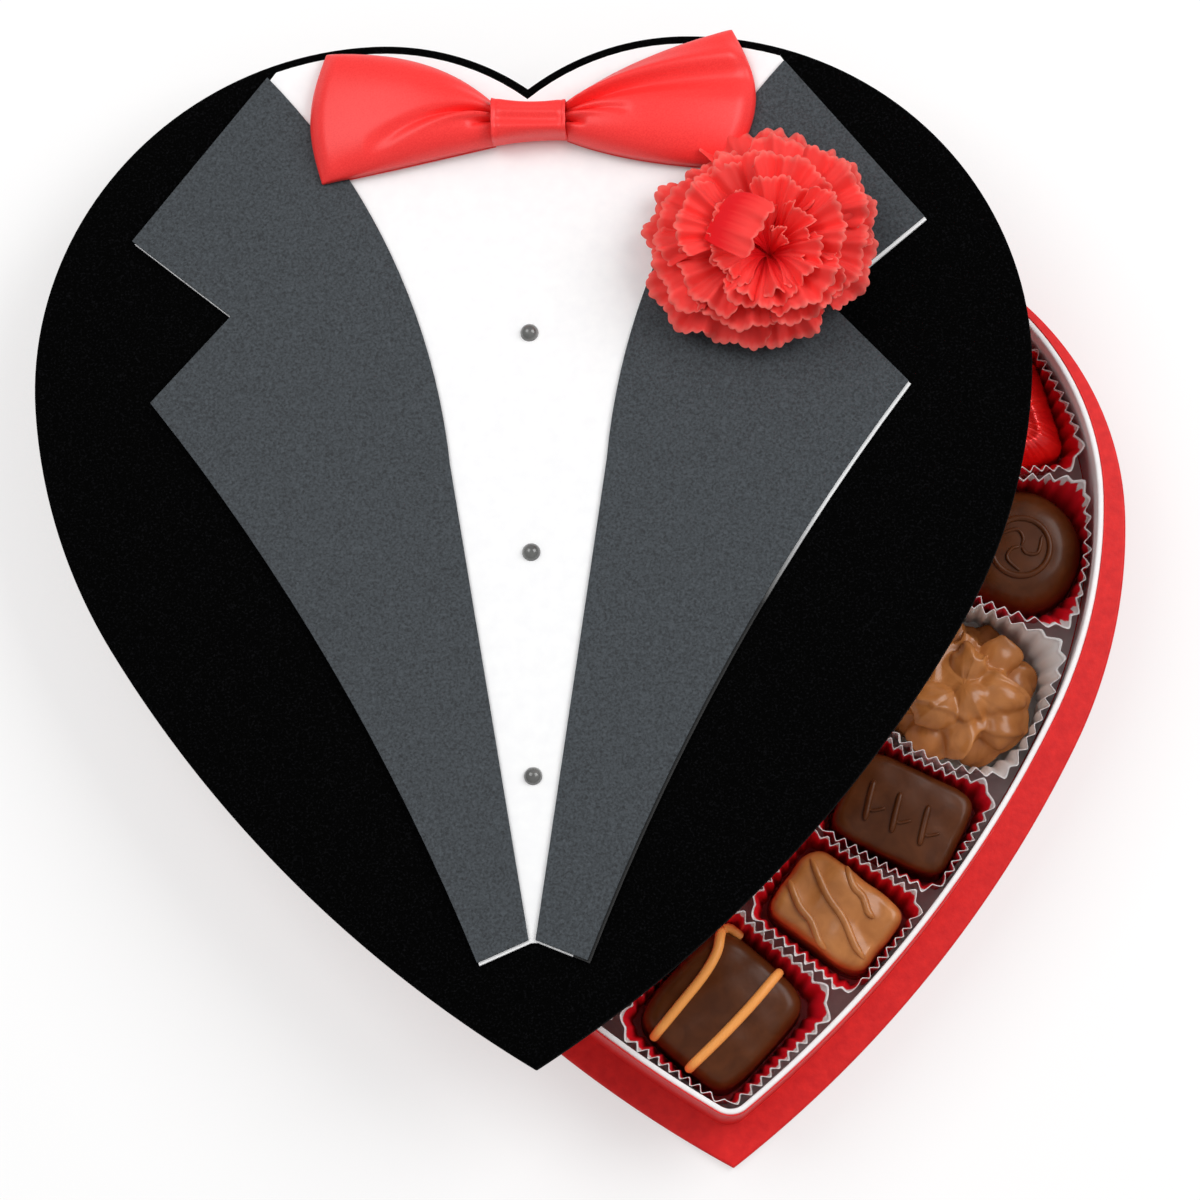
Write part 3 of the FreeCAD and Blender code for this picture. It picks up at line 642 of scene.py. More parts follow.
@dataclass(frozen=True)
class Heart:
    """Outline of the lid: each half is a side, shoulder, lobe and crest arc, tangent where they meet."""

    crest_radius: float = 59.0
    lobe_radius: float = 80.3
    lobe_spread: float = 35.0
    lobe_end: float = math.radians(179.0)
    shoulder_radius: float = 130.0
    shoulder_end: float = math.radians(85.7)
    side_radius: float = 296.0
    side_end: float = math.radians(59.0)
    least_tip: float = 0.15
    steps: tuple[int, ...] = (8, 44, 24, 44, 36)

    def ring(self, inset: float, tip_radius: float) -> Array:
        """Heart at a set-in from the lid's edge, anticlockwise from the tip.

        An arc's point at slope s is its centre plus R (sin s, -cos s). The tip's own arc is centred on the
        middle line and touches both sides.

        Args:
            inset: from the lid's edge.
            tip_radius: of the rounded tip.

        Returns:
            Points by 2.
        """
        def inward(slope: float) -> Array:
            """Direction to the inside of the outline at a slope."""
            return np.array([-math.sin(slope), math.cos(slope)])

        lobe = np.array([self.lobe_spread, 0.0])
        crest = lobe + inward(self.lobe_end) * (self.crest_radius - self.lobe_radius)
        shoulder = lobe + inward(self.shoulder_end) * (self.shoulder_radius - self.lobe_radius)
        side = shoulder + inward(self.side_end) * (self.side_radius - self.shoulder_radius)
        lift = (self.lobe_radius + side[1] - math.sqrt(self.side_radius ** 2 - side[0] ** 2)) / 2
        side_radius, crest_radius = self.side_radius - inset, self.crest_radius - inset
        start = -math.asin(side[0] / (side_radius - tip_radius))
        tip = np.array([0, side[1] - math.sqrt((side_radius - tip_radius) ** 2 - side[0] ** 2)])
        spans = [
            (tip, tip_radius, 0.0, start),
            (side, side_radius, start, self.side_end),
            (shoulder, self.shoulder_radius - inset, self.side_end, self.shoulder_end),
            (lobe, self.lobe_radius - inset, self.shoulder_end, self.lobe_end),
            (crest, crest_radius, self.lobe_end, math.pi + math.asin(crest[0] / crest_radius)),
        ]
        half = []
        for (centre, radius, low, high), count in zip(spans, self.steps):
            slope = np.linspace(low, high, count, endpoint=False)
            half.append(centre + radius * np.stack([np.sin(slope), -np.cos(slope)], axis=1))
        right = np.concatenate(half)
        notch = [[0.0, crest[1] + math.sqrt(crest_radius ** 2 - crest[0] ** 2)]]
        left = right[:0:-1] * [-1, 1]
        return np.concatenate([right, notch, left]) - [0, lift]

    def sweep(self, profile: Sequence[tuple[float, float]], tip_radius: float, tip_inset: float,
              loop: bool = False) -> Surface:
        """A profile of set-ins and heights carried round the heart.

        Args:
            profile: set-in and height of each row, rows rising outside.
            tip_radius: of the tip where the set-in is tip_inset; it changes with the set-in.
            tip_inset: see tip_radius.
            loop: join the last row to the first, or else close both with a face.

        Returns:
            Closed surface.
        """
        rows = []
        for inset, height in profile:
            outline = self.ring(inset, max(tip_radius + tip_inset - inset, self.least_tip))
            rows.append(np.column_stack([outline, np.full(len(outline), height)]))
        return grid(np.stack(rows), loop_rows=loop, loop_columns=True, caps=(not loop, not loop))


def rim(inset: float, high: float, radius: float, steps: int = 5) -> list[tuple[float, float]]:
    """Quarter round at the top of an outer face, as set-ins and heights."""
    bend = np.linspace(0, math.pi / 2, steps)
    return [(inset + radius * (1 - math.cos(a)), high - radius * (1 - math.sin(a))) for a in bend]


@dataclass(frozen=True)
class Tray:
    """Base board in red paper, white neck wall, its red band and the lining."""

    heart: Heart = Heart()
    flange_inset: float = 10.0
    wrap_inset: float = 17.3
    wrap: float = 0.3
    neck_board: float = 1.4
    neck_tip: float = 6.0
    board_tip: float = 0.4
    board_edge: float = 0.7
    rim_edge: float = 0.55
    wrap_edge: float = 0.14

    def build(self) -> None:
        """Make the base, neck and band, and dress the lining."""
        foot, floor = (corner.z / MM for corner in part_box("base_board"))
        edge = rim(self.flange_inset, floor, self.board_edge)
        under = [(inset, foot + floor - height) for inset, height in reversed(edge)]
        base = self.heart.sweep(under + edge, self.board_tip, self.flange_inset)
        show("tray_base", base, RED_PAPER.material(), Body.TRAY, ["base_board"])
        neck = self.hoop(self.wrap_inset + self.wrap, self.neck_board, self.rim_edge, "neck_wall")
        show("tray_neck", neck, WHITE_BOARD.material(), Body.TRAY, ["neck_wall"])
        band = self.hoop(self.wrap_inset, self.wrap, self.wrap_edge, "neck_wrap")
        show("tray_band", band, RED_PAPER.material(), Body.TRAY, ["neck_wrap"])
        dress(WHITE_PAPER.material(), "tray_lining")

    def hoop(self, inset: float, wall: float, edge: float, node: str) -> Surface:
        """A wall round the heart with a rounded rim.

        Args:
            inset: of its outer face.
            wall: its thickness.
            edge: radius along the rim.
            node: frame node that has its height.

        Returns:
            Closed surface.
        """
        low, high = (corner.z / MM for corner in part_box(node))
        outer = rim(inset, high, edge)
        inner = [(2 * inset + wall - across, height) for across, height in reversed(outer)]
        profile = [(inset, low), *outer, *inner, (inset + wall, low)]
        return self.heart.sweep(profile, self.neck_tip, self.wrap_inset, loop=True)


# Chocolates and their cups

class Kind(Enum):
    """Kinds of chocolate in the assortment, by the head of their node names."""

    STRIPED = "striped_block"
    RIDGED = "ridged_bar"
    DASHED = "dashed_block"
    FOIL = "foil_block"
    CREAM = "cream_round"
    CLUSTER = "nut_cluster"

    @classmethod
    def of(cls, node: str) -> Optional["Kind"]:
        """The kind that a node is, if it is a chocolate."""
        return next((kind for kind in cls if node.startswith(kind.value)), None)


class Cups(Enum):
    """The frame's nodes of paper cups."""

    RED_BAR = "red_bar_cups"
    RED_ROUND = "red_round_cups"
    WHITE_ROUND = "white_round_cups"


@dataclass(frozen=True)
class Blank:
    """Room that the frame gives a chocolate: half sizes and height, with the seed of its unevenness."""

    half_x: float
    half_y: float
    height: float
    seed: int


@dataclass(frozen=True)
class Enrobed:
    """An enrobed chocolate with an oblong or round outline.

    Its side is drawn in by the draft, its shoulder is a quarter ellipse of a reach and a rise, and its top
    swells by the crown. It leaves room for marks on top, and waver is how far its surface strays.
    """

    blank: Blank
    power: float
    shoulder: tuple[float, float]
    crown: float
    draft: float
    waver: float
    marks: float = 0.0
    columns: int = 160
    foot: Points = ((0.9, 0.0), (0.3, 0.0), (0.0, 0.5))     # set-in and height of its lowest rows
    top_rows: int = 14
    # Slow waves over the body: radians per millimetre along x, y and z, and share
    waves: tuple[tuple[float, ...], ...] = (
        (0.31, 0.22, 0.0, 1.0), (0.0, 0.42, -0.2, 1.0), (0.8, 0.0, 0.3, 0.6), (0.35, 0.9, 0.0, 0.6))

    @property
    def height(self) -> float:
        """Height of the body without its marks."""
        return self.blank.height - self.marks

    def rows(self) -> Array:
        """Half sizes and height of each row, from the foot to the middle of the top.

        Returns:
            Rows by 3.
        """
        bend = np.linspace(0, math.pi / 2, 11)[1:]
        reach, rise = self.shoulder
        brim = self.height - self.crown - rise
        foot = np.array(self.foot)
        inset = np.concatenate([foot[:, 0], [self.draft / 2, self.draft],
                                self.draft + reach * (1 - np.cos(bend))])
        z = np.concatenate([foot[:, 1], [brim / 2, brim], brim + rise * np.sin(bend)])
        body = np.stack([self.blank.half_x - inset, self.blank.half_y - inset, z], axis=1)
        share = np.linspace(0.93, 0.04, self.top_rows)[:, None]
        top = np.concatenate([body[-1, :2] * share, z[-1] + self.crown * (1 - share ** 2)], axis=1)
        return np.concatenate([body, top])

    def top_at(self, x: Array, y: Array) -> Array:
        """Height of the top over points, by how far out each lies between the middle and the drafted side.

        Args:
            x: of the points.
            y: of the points.

        Returns:
            Heights.
        """
        rows = self.rows()[:len(self.foot):-1]
        a, b = rows[-1, :2]
        out = (np.abs(x / a) ** self.power + np.abs(y / b) ** self.power) ** (1 / self.power)
        return np.interp(out, rows[:, 0] / a, rows[:, 2])

    def surface(self) -> Surface:
        """The body: its rows as outlines; slow waves with seeded phases make it uneven, as if poured.

        Returns:
            Closed surface about its own axes.
        """
        rows = self.rows()
        outlines = np.stack([oblong(*half, self.power, self.columns) for half in rows[:, :2]])
        heights = np.broadcast_to(rows[:, 2, None, None], (*outlines.shape[:2], 1))
        points = np.concatenate([outlines, heights], axis=2)
        waves = np.array(self.waves)
        phase = np.random.default_rng(self.blank.seed).uniform(0, 2 * math.pi, len(waves))
        wave = np.sin(points @ waves[:, :3].T + phase) @ waves[:, 3]
        stray = self.waver / 2 * wave * np.clip(points[..., 2] / self.height, 0, 1)
        points[..., :2] *= 1 + stray[..., None] / max(self.blank.half_x, self.blank.half_y)
        points[..., 2] += stray
        return grid(points, loop_columns=True, caps=(True, True))

    def line(self, points: Points, radius: float, sunk: float = 0.4, drop: float = 0.0,
             poured: float = 0.0) -> Surface:
        """A poured line over the top, tapered at its ends.

        Args:
            points: what it passes through, in the outline's plane.
            radius: of the line.
            sunk: share of the radius below the surface.
            drop: how far both ends run down the sides.
            poured: 1 for the line's own colour, 0 for the body's.

        Returns:
            Closed tube.
        """
        flat = curve(points, 44)
        path = np.column_stack([flat, self.top_at(flat[:, 0], flat[:, 1]) + radius * (1 - 2 * sunk)])
        if drop > 0:
            down = np.linspace(1, 0.15, 6)[:, None] * [0, 0, -drop]
            path = np.concatenate([path[:1] + down, path, path[-1:] + down[::-1]])
        run = np.linspace(-1, 1, len(path))
        surface = tube(path, radius * np.maximum(1 - np.abs(run) ** 8, 0.08) ** 0.5)
        surface.values["poured"] = np.full(len(surface.points), poured)
        return surface


class Chocolate:
    """A kind of chocolate; a subclass gives its shape."""

    def surface(self, blank: Blank) -> Surface:
        """Closed shape in the room of a blank."""
        raise NotImplementedError


@dataclass(frozen=True)
class Striped(Chocolate):
    """Soft dark pillow with two caramel lines poured across it."""

    radius: float = 1.2
    sunk: float = 0.3
    drop: float = 6.0
    lines: tuple[Points, ...] = (
        ((15.0, 3.4), (5.0, 4.1), (-5.0, 4.3), (-15.0, 3.9)),
        ((15.0, -7.4), (6.0, -7.8), (-3.0, -8.4), (-9.0, -9.8),
         (-13.2, -12.2), (-15.2, -11.4), (-15.5, -8.6)))

    def surface(self, blank: Blank) -> Surface:
        """The pillow with its lines; the second one bends round at its end, as the pouring stopped.

        Args:
            blank: its room.

        Returns:
            Closed surfaces together.
        """
        body = Enrobed(blank, power=4.8, shoulder=(3.4, 4.2), crown=1.4, draft=0.3, waver=0.18)
        lines = (body.line(points, self.radius, self.sunk, self.drop, poured=1.0) for points in self.lines)
        return joined([body.surface(), *lines])


@dataclass(frozen=True)
class Ridged(Chocolate):
    """Milk bar with slanting ridges that fade into its shoulders."""

    slant: float = math.radians(-26)
    ridge: float = 0.95
    # Offset across the slant, shift along it and half length of each ridge
    ridges: tuple[tuple[float, float, float], ...] = ((-6.8, -2.0, 9.0), (0.0, 0.0, 13.0), (6.3, -1.0, 6.8))
    # Along a ridge from end to end, and how far it strays across
    stray: Points = ((-1.0, 0.3), (-0.3, -0.4), (0.2, 0.3), (0.7, -0.2), (1.0, 0.2))

    def surface(self, blank: Blank) -> Surface:
        """The bar with its ridges.

        Args:
            blank: its room.

        Returns:
            Closed surfaces together.
        """
        body = Enrobed(blank, power=5.0, shoulder=(2.6, 3.2), crown=0.6, draft=0.6, waver=0.42, marks=0.6)
        along = np.array([math.cos(self.slant), math.sin(self.slant)])
        across = np.array([-along[1], along[0]])
        marks = []
        for offset, shift, reach in self.ridges:
            path = [across * (offset + bend) + along * (shift + reach * t) for t, bend in self.stray]
            marks.append(body.line(tuple(map(tuple, path)), self.ridge))
        return joined([body.surface(), *marks])


@dataclass(frozen=True)
class Dashed(Chocolate):
    """Crisp dark block with three dashes, each with a short drip to one side."""

    places: tuple[float, ...] = (-8.1, -1.4, 5.7)
    dash: Points = ((-1.0, 3.9), (-0.2, -0.6), (0.9, -5.6))
    drip: Points = ((0.2, -2.6), (1.6, -2.7), (4.0, -1.0))
    radii: tuple[float, float] = (0.8, 0.4)

    def surface(self, blank: Blank) -> Surface:
        """The block with its dashes.

        Args:
            blank: its room.

        Returns:
            Closed surfaces together.
        """
        body = Enrobed(blank, power=5.5, shoulder=(2.2, 2.6), crown=0.5, draft=0.3, waver=0.12, marks=0.7)
        marks = [body.line(tuple((place + x, y) for x, y in path), radius)
                 for place in self.places for path, radius in zip((self.dash, self.drip), self.radii)]
        return joined([body.surface(), *marks])


@dataclass(frozen=True)
class Wrapped(Chocolate):
    """Foil-wrapped block: upright sides, a sloping border, a crumpled raised rim and a flat panel inside."""

    power: float = 9.0
    columns: int = 220
    crumple: float = 0.7
    creases: tuple[int, int] = (17, 29)                     # waves of the two sets, round the block
    crease_level: float = 1.2
    crease_most: float = 0.3
    pinches: int = 23
    pinch: float = 0.02
    # Set-in, share of the height, and how crumpled the foil is, row by row
    rows: tuple[tuple[float, float, float], ...] = (
        (0.9, 0.0, 0.0), (0.0, 0.04, 0.05), (0.15, 0.4, 0.1), (0.3, 0.66, 0.25), (0.8, 0.73, 0.35),
        (1.8, 0.82, 0.4), (3.0, 0.9, 0.35), (4.0, 0.955, 0.4), (4.7, 0.99, 0.55), (5.4, 1.0, 0.55),
        (6.0, 0.975, 0.4), (6.8, 0.965, 0.15), (8.5, 0.965, 0.06), (10.6, 0.965, 0.0))

    def surface(self, blank: Blank) -> Surface:
        """Oblong outlines row by row; two sets of creases round the block lower the crumpled rows.

        Args:
            blank: its room.

        Returns:
            Closed surface.
        """
        inset, share, loose = np.array(self.rows).T[..., None]
        outlines = np.stack([oblong(blank.half_x - i, blank.half_y - i, self.power, self.columns)
                             for i in inset[:, 0]])
        phase = np.random.default_rng(blank.seed).uniform(0, 2 * math.pi, 3)
        around = circle(self.columns)
        crease = sum(np.abs(np.sin(count * around + start)) for count, start in zip(self.creases, phase))
        crease = np.minimum(crease - self.crease_level, self.crease_most)
        z = blank.height * share + self.crumple * loose * crease
        outlines *= 1 + (loose * np.sin(self.pinches * around + phase[2]) * self.pinch)[..., None]
        return grid(np.concatenate([outlines, z[..., None]], axis=2), loop_columns=True, caps=(True, True))


@dataclass(frozen=True)
class Cream(Chocolate):
    """Round dark cream: a dome with a raised ring, and a swirl of three arms poured inside the ring."""

    ring: float = 6.8
    ring_radius: float = 0.75
    arms: tuple[float, ...] = (20.0, 140.0, 260.0)
    arm: Points = ((0.2, 0.0), (2.2, 0.4), (4.2, 0.9), (5.7, 1.7))      # radius, and turn in radians
    arm_radius: float = 0.45

    def surface(self, blank: Blank) -> Surface:
        """The dome with its ring, a torus, and its arms.

        Args:
            blank: its room.

        Returns:
            Closed surfaces together.
        """
        half = max(blank.half_x, blank.half_y)
        body = Enrobed(Blank(half, half, blank.height, blank.seed), power=2.0, shoulder=(6.4, 9.0), crown=0.3,
                       draft=0.2, waver=0.1, marks=0.8)
        turn = circle(72)
        section = circle(12)[:, None]
        reach = self.ring + self.ring_radius * np.cos(section)
        z = body.top_at(np.array([self.ring]), np.zeros(1)) + self.ring_radius * np.sin(section)
        hoop = np.stack(np.broadcast_arrays(reach * np.cos(turn), reach * np.sin(turn), z), axis=-1)
        arms = []
        for start in np.radians(self.arms):
            path = tuple((r * math.cos(start + bend), r * math.sin(start + bend)) for r, bend in self.arm)
            arms.append(body.line(path, self.arm_radius))
        return joined([body.surface(), grid(hoop[::-1], loop_rows=True, loop_columns=True), *arms])


@dataclass(frozen=True)
class Cluster(Chocolate):
    """Nuts and chips under poured milk chocolate; away is how far they lie from a point inside."""

    half: float = 18.2
    count: int = 16
    spiral: float = 1.1                                     # how far down it goes; 1 is level with the point
    full_turn: float = 6.28
    chip_every: int = 5
    chip_radius: tuple[float, float] = (1.8, 2.5)
    nut_radius: tuple[float, float] = (3.6, 5.2)
    chip_away: float = 13.0
    nut_away: tuple[float, float] = (10.8, 12.8)
    core: float = 12.6
    softness: float = 1.6
    sink: float = 5.0
    evening: float = 0.4
    fold_rise: tuple[float, float] = (1.3, 1.0)
    fold_width: tuple[float, float] = (0.24, 0.2)
    lowest: float = 2.2                                     # tilt of the rays from straight up, in radians
    highest: float = 0.02
    grid_size: tuple[int, int] = (96, 220)

    def surface(self, blank: Blank) -> Surface:
        """Along each ray from inside, the soft maximum of where it leaves each ball, with poured folds.

        Balls lie on a golden-angle spiral over the upper side. The outline is evened towards a circle.

        Args:
            blank: its room.

        Returns:
            Closed surface, flat underneath.
        """
        rng = np.random.default_rng(blank.seed)
        number = np.arange(self.count)
        tilt = np.arccos(1 - (number + 0.5) / self.count * self.spiral)
        turn = number * math.pi * (3 - math.sqrt(5)) + rng.uniform(0, self.full_turn)
        chip = number % self.chip_every == self.chip_every - 1
        small, large = (rng.uniform(*span, self.count) for span in (self.chip_radius, self.nut_radius))
        radii = np.where(chip, small, large)
        away = np.where(chip, self.chip_away, rng.uniform(*self.nut_away, self.count))
        centres = np.concatenate([rays(tilt, turn) * away[:, None], np.zeros((1, 3))])
        radii = np.concatenate([radii, [self.core]])
        rows, columns = self.grid_size
        around = circle(columns)
        ray = rays(np.linspace(self.lowest, self.highest, rows)[:, None], around)
        near = ray @ centres.T
        under = near ** 2 - (centres ** 2).sum(1) + radii ** 2
        leave = np.where(under > 0, near + np.sqrt(np.maximum(under, 0)), 0)
        reach = np.log(np.exp(self.softness * leave).sum(-1)) / self.softness
        points = ray * (reach + self.folds(ray, rng.uniform(0, self.full_turn, 4)))[..., None]
        girth = np.linalg.norm(points[..., :2], axis=-1).max(axis=0)
        half = max(blank.half_x, blank.half_y, self.half)
        points[..., :2] *= (half * (girth / girth.max()) ** self.evening / girth)[:, None]
        height = points[..., 2] + self.sink
        points[..., 2] = np.maximum(height, 0) * blank.height / height.max()
        return grid(points, loop_columns=True, caps=(True, True))

    def folds(self, ray: Array, phase: Array) -> Array:
        """Two sets of wandering ridges, along lines where the sine of a bent coordinate is nought.

        Args:
            ray: directions.
            phase: four phases.

        Returns:
            Height along each direction.
        """
        x, y, z = np.moveaxis(ray, -1, 0)
        flow = 3.4 * x + 1.5 * np.sin(2.6 * y + phase[0]) + 1.2 * np.sin(3 * z + 2 * x + phase[1])
        lap = 3.1 * y - 1.5 * z + 1.4 * np.sin(2.8 * x + phase[2]) + 0.9 * np.sin(3.4 * z - y + phase[3])
        return sum(rise * np.exp(-(np.sin(path) / width) ** 2)
                   for path, rise, width in zip((flow, lap), self.fold_rise, self.fold_width))


@dataclass(frozen=True)
class Ware:
    """How a kind of chocolate is made, its finish and slot, its cups, and half the width of a round one."""

    chocolate: Chocolate
    finish: Finish
    slot: str
    cups: Cups = Cups.RED_BAR
    round_half: float = 0.0


WARES = {
    Kind.STRIPED: Ware(Striped(), DARK_CHOCOLATE, "dark_chocolate"),
    Kind.RIDGED: Ware(Ridged(), MILK_CHOCOLATE, "milk_chocolate"),
    Kind.DASHED: Ware(Dashed(), DARK_CHOCOLATE, "dark_chocolate"),
    Kind.FOIL: Ware(Wrapped(), RED_FOIL, "red_foil"),
    Kind.CREAM: Ware(Cream(), DARK_CHOCOLATE, "dark_chocolate", Cups.RED_ROUND, 14.8),
    Kind.CLUSTER: Ware(Cluster(), MILK_CHOCOLATE, "milk_chocolate", Cups.WHITE_ROUND, 17.5),
}


@dataclass(frozen=True)
class CupPlace:
    """Where a cup stands: its chocolate's axes, half sizes and squareness, and the cup's node."""

    axes: Axes
    half: tuple[float, float]
    power: float
    cups: Cups

    def outline(self, count: int) -> Array:
        """The chocolate's outline about its own axes."""
        return oblong(*self.half, self.power, count)


@dataclass(frozen=True)
class Assortment:
    """The chocolates and their fluted paper cups."""

    cup_height: float = 19.0
    cup_floor: float = 0.3
    cup_foot: float = 0.6
    flare_least: float = 1.5
    flare_most: float = 8.0
    flare_steps: int = 36
    flare_curve: float = 2.2
    cup_lap: float = 0.6
    neck_gap: float = 0.3
    near: float = 45.0
    hollow_inset: float = 19.0
    hollow_tip: float = 4.3
    flute_pitch: float = 3.9
    flute_depth: float = 1.05
    flute_points: int = 8
    flute_uneven: float = 0.1
    fold_sharpness: float = 0.98
    pitch_waver: float = 0.6
    rim_drop: float = 0.5
    rim_waves: Points = ((3, 0.35), (7, 0.25))              # waves round the rim, and their heights
    paper: float = 0.2
    cut_edge: float = 1.1
    round_power: float = 2.0
    bar_power: float = 9.0
    tip_bare: dict[Cups, float] = field(default_factory=lambda: {
        Cups.RED_BAR: 0.2, Cups.RED_ROUND: 0.36, Cups.WHITE_ROUND: 0.1})

    def build(self) -> None:
        """Make every chocolate where its node lies, then the cups by node."""
        places = []
        for seed, node in enumerate(sorted(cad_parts)):
            kind = Kind.of(node)
            if kind is not None:
                places.append(self.chocolate(node, WARES[kind], seed))
        wall = spaced(Heart().ring(self.hollow_inset, self.hollow_tip), 1200, closed=True)
        lines = [place.axes.flat(place.outline(72)) for place in places]
        shells: dict[Cups, list[Surface]] = {cups: [] for cups in Cups}
        for i, place in enumerate(places):
            others = np.concatenate([*lines[:i], *lines[i + 1:]])
            around = [each[np.linalg.norm(each - place.axes.origin[:2], axis=1) < self.near]
                      for each in (others, wall)]
            shells[place.cups].append(place.axes.lay(self.cup(place, around, i)))
        for cups, surfaces in shells.items():
            white = cups is Cups.WHITE_ROUND
            finish, slot = (WHITE_CUP, "white_cup_paper") if white else (RED_CUP, "red_cup_paper")
            show(f"{cups.value}_fluted", joined(surfaces), finish.material(), Body.TRAY, [cups.value],
                 crease=75.0)

    def chocolate(self, node: str, ware: Ware, seed: int) -> CupPlace:
        """Make one chocolate where its node lies.

        Args:
            node: frame node.
            ware: how it is made.
            seed: of its unevenness.

        Returns:
            Where its cup stands.
        """
        axes = Axes.of_block(node)
        half_x, half_y, half_z = np.ptp((node_points(node) - axes.origin) @ axes.rows.T, axis=0) / 2
        shape = ware.chocolate.surface(Blank(half_x, half_y, 2 * half_z, seed))
        show(f"{node}_poured", axes.lay(shape), ware.finish.material(), Body.TRAY, [node])
        if ware.round_half:
            return CupPlace(axes, (ware.round_half, ware.round_half), self.round_power, ware.cups)
        return CupPlace(axes, (half_x, half_y), self.bar_power, ware.cups)

    def room(self, line: Array, out: Array, around: Sequence[Array]) -> Array:
        """How far a cup leans out at each point of its chocolate's outline.

        A point of the mouth stands off as far as flare_most, but hardly further from its own chocolate than
        from the others, where the cups lap a little, and not as far as the neck. The least of a few
        neighbours, and then their mean, keep the mouth smooth.

        Args:
            line: points of the outline, by 2.
            out: outward direction at each point.
            around: points of the other outlines, and points of the neck.

        Returns:
            Distance at each point.
        """
        steps = np.linspace(self.flare_least, self.flare_most, self.flare_steps)
        trial = line[:, None] + out[:, None] * steps[:, None]
        others, neck = (np.sqrt(((trial[:, :, None] - each) ** 2).sum(-1).min(-1)) if len(each) else 2 * steps
                        for each in around)
        free = np.cumprod((others > steps - self.cup_lap) & (neck > self.neck_gap), axis=1).sum(1)
        reach = steps[np.maximum(free - 1, 0)]
        least = np.min([np.roll(reach, k) for k in range(-2, 3)], axis=0)
        return np.mean([np.roll(least, k) for k in range(-4, 5)], axis=0)

    def cup(self, place: CupPlace, around: Sequence[Array], seed: int) -> Surface:
        """Fluted cup: its chocolate's outline set off along its normal, leaning out as far as it has room.

        A zigzag that deepens to the mouth makes the flutes. The print leaves a bare triangle in the outer
        fold of each flute, widest at the cut edge.

        Args:
            place: where it stands.
            around: points of the other outlines, and points of the neck.
            seed: of the small unevenness.

        Returns:
            Closed thin surface with a value that tells the bare paper from the printed one.
        """
        girth = 4 * (sum(place.half) + self.flare_most)
        if place.power == self.round_power:
            girth *= math.pi / 4
        flutes = round(girth / self.flute_pitch)
        columns = flutes * self.flute_points
        line = place.outline(columns)
        along = np.roll(line, -1, axis=0) - np.roll(line, 1, axis=0)
        out = np.stack([along[:, 1], -along[:, 0]], axis=1) / np.linalg.norm(along, axis=1)[:, None]
        room = self.room(place.axes.flat(line), out @ place.axes.rows[:2, :2], around)
        mouth = room - self.flute_depth
        turn = circle(columns)
        noise = np.random.default_rng(seed).uniform(0, 2 * math.pi, 5)
        uneven = 1 - self.flute_uneven * (1 - np.sin(5 * turn + noise[0]) - np.sin(9 * turn + noise[1]))
        phase = flutes * turn + self.pitch_waver * np.sin(4 * turn + noise[4])
        zigzag = 2 / math.pi * np.arcsin(self.fold_sharpness * np.sin(phase)) * uneven
        rise = self.cup_height - self.rim_drop
        for (count, height), start in zip(self.rim_waves, noise[2:4]):
            rise = rise + height * np.sin(count * turn + start)
        # Rows up the outer face, over the cut edge and down the inner one, closer together near the mouth
        shares = np.concatenate([np.linspace(0, 0.7, 6), np.linspace(0.76, 1, 7)])
        cut = self.cut_edge / self.cup_height
        rows = [(s, 0.5) for s in shares] + [(1.0, -0.5), (1 - cut, -0.5), (1 - cut * 1.05, -0.5)]
        rows += [(s, -0.5) for s in shares[-2::-1]]
        layers, bare = [], []
        for share, skin in rows:
            spread = self.cup_foot + (mouth - self.cup_foot) * share ** self.flare_curve
            depth = self.flute_depth * (0.3 + 0.7 * share) * zigzag + skin * self.paper
            z = rise * share + self.paper * (0.5 - skin) * (share == 0) - self.cup_floor
            layers.append(np.column_stack([line + out * (spread + depth)[:, None], z]))
            fold = self.tip_bare[place.cups] * np.maximum(zigzag, 0)
            bare.append(np.clip(0.5 + 6 * (share - 1 + fold), 0, 1) if share < 1 - cut else np.ones(columns))
        return grid(np.stack(layers), loop_columns=True, caps=(True, True), bare=np.stack(bare))


# The lid

@dataclass(frozen=True)
class Lid:
    """Flocked board with a shallow collar, and the jacket front glued on it."""

    axes: Axes
    heart: Heart = Heart()
    board: float = 2.0
    flock: float = 0.4
    edge: float = 0.9
    foot_edge: float = 0.1
    tip: float = 0.5

    def build(self) -> None:
        """Make the flock with its rounded edge, and dress the card pieces."""
        foot = [(self.flock, self.board), (self.flock, 0.0), (self.foot_edge, 0.0), (0.0, self.foot_edge)]
        profile = foot + rim(0.0, self.board + self.flock, self.edge, 6)
        cover = self.axes.lay(self.heart.sweep(profile, self.tip, 0.0))
        show("lid_flock", cover, BLACK_FLOCK.material(), Body.LID, ["flock_cover"])
        dress(GREY_BOARD.material(), "lid_board")
        dress(WHITE_BOARD.material(), "lid_collar")
        dress(RED_PAPER.material(), "collar_wrap")
        dress(WHITE_PAPER.material(), "lid_lining")
        # Coated card: nearly pure white, with hardly any fibre to see
        card = InkedCard("smooth_white_card", Grain(3.0), ((0.3, "f7f7f8"), (0.7, "fbfbfb")),
                         Grain(1.0, 4.0), 0.015, {"Roughness": 0.5, "IOR": 1.5}, self.axes)
        dress(card.material(), "shirt_card")
        dress(LAPEL_CARD.material(), "right_lapel", "left_lapel")
        dress(STUD_RESIN.material(), "stud_1", "stud_2", "stud_3")
        dress(CALYX.material(), "flower_calyx")


@dataclass(frozen=True)
class Fold:
    """A pleat of a bow wing.

    It leaves the knot and meets the end at shares of the wing's height, from the lower edge 0 to the upper 1.
    Its width is such a share too, and it has faded away at its reach, a share of the wing's length.
    """

    at_knot: float
    at_end: float
    depth: float
    width: float
    reach: float


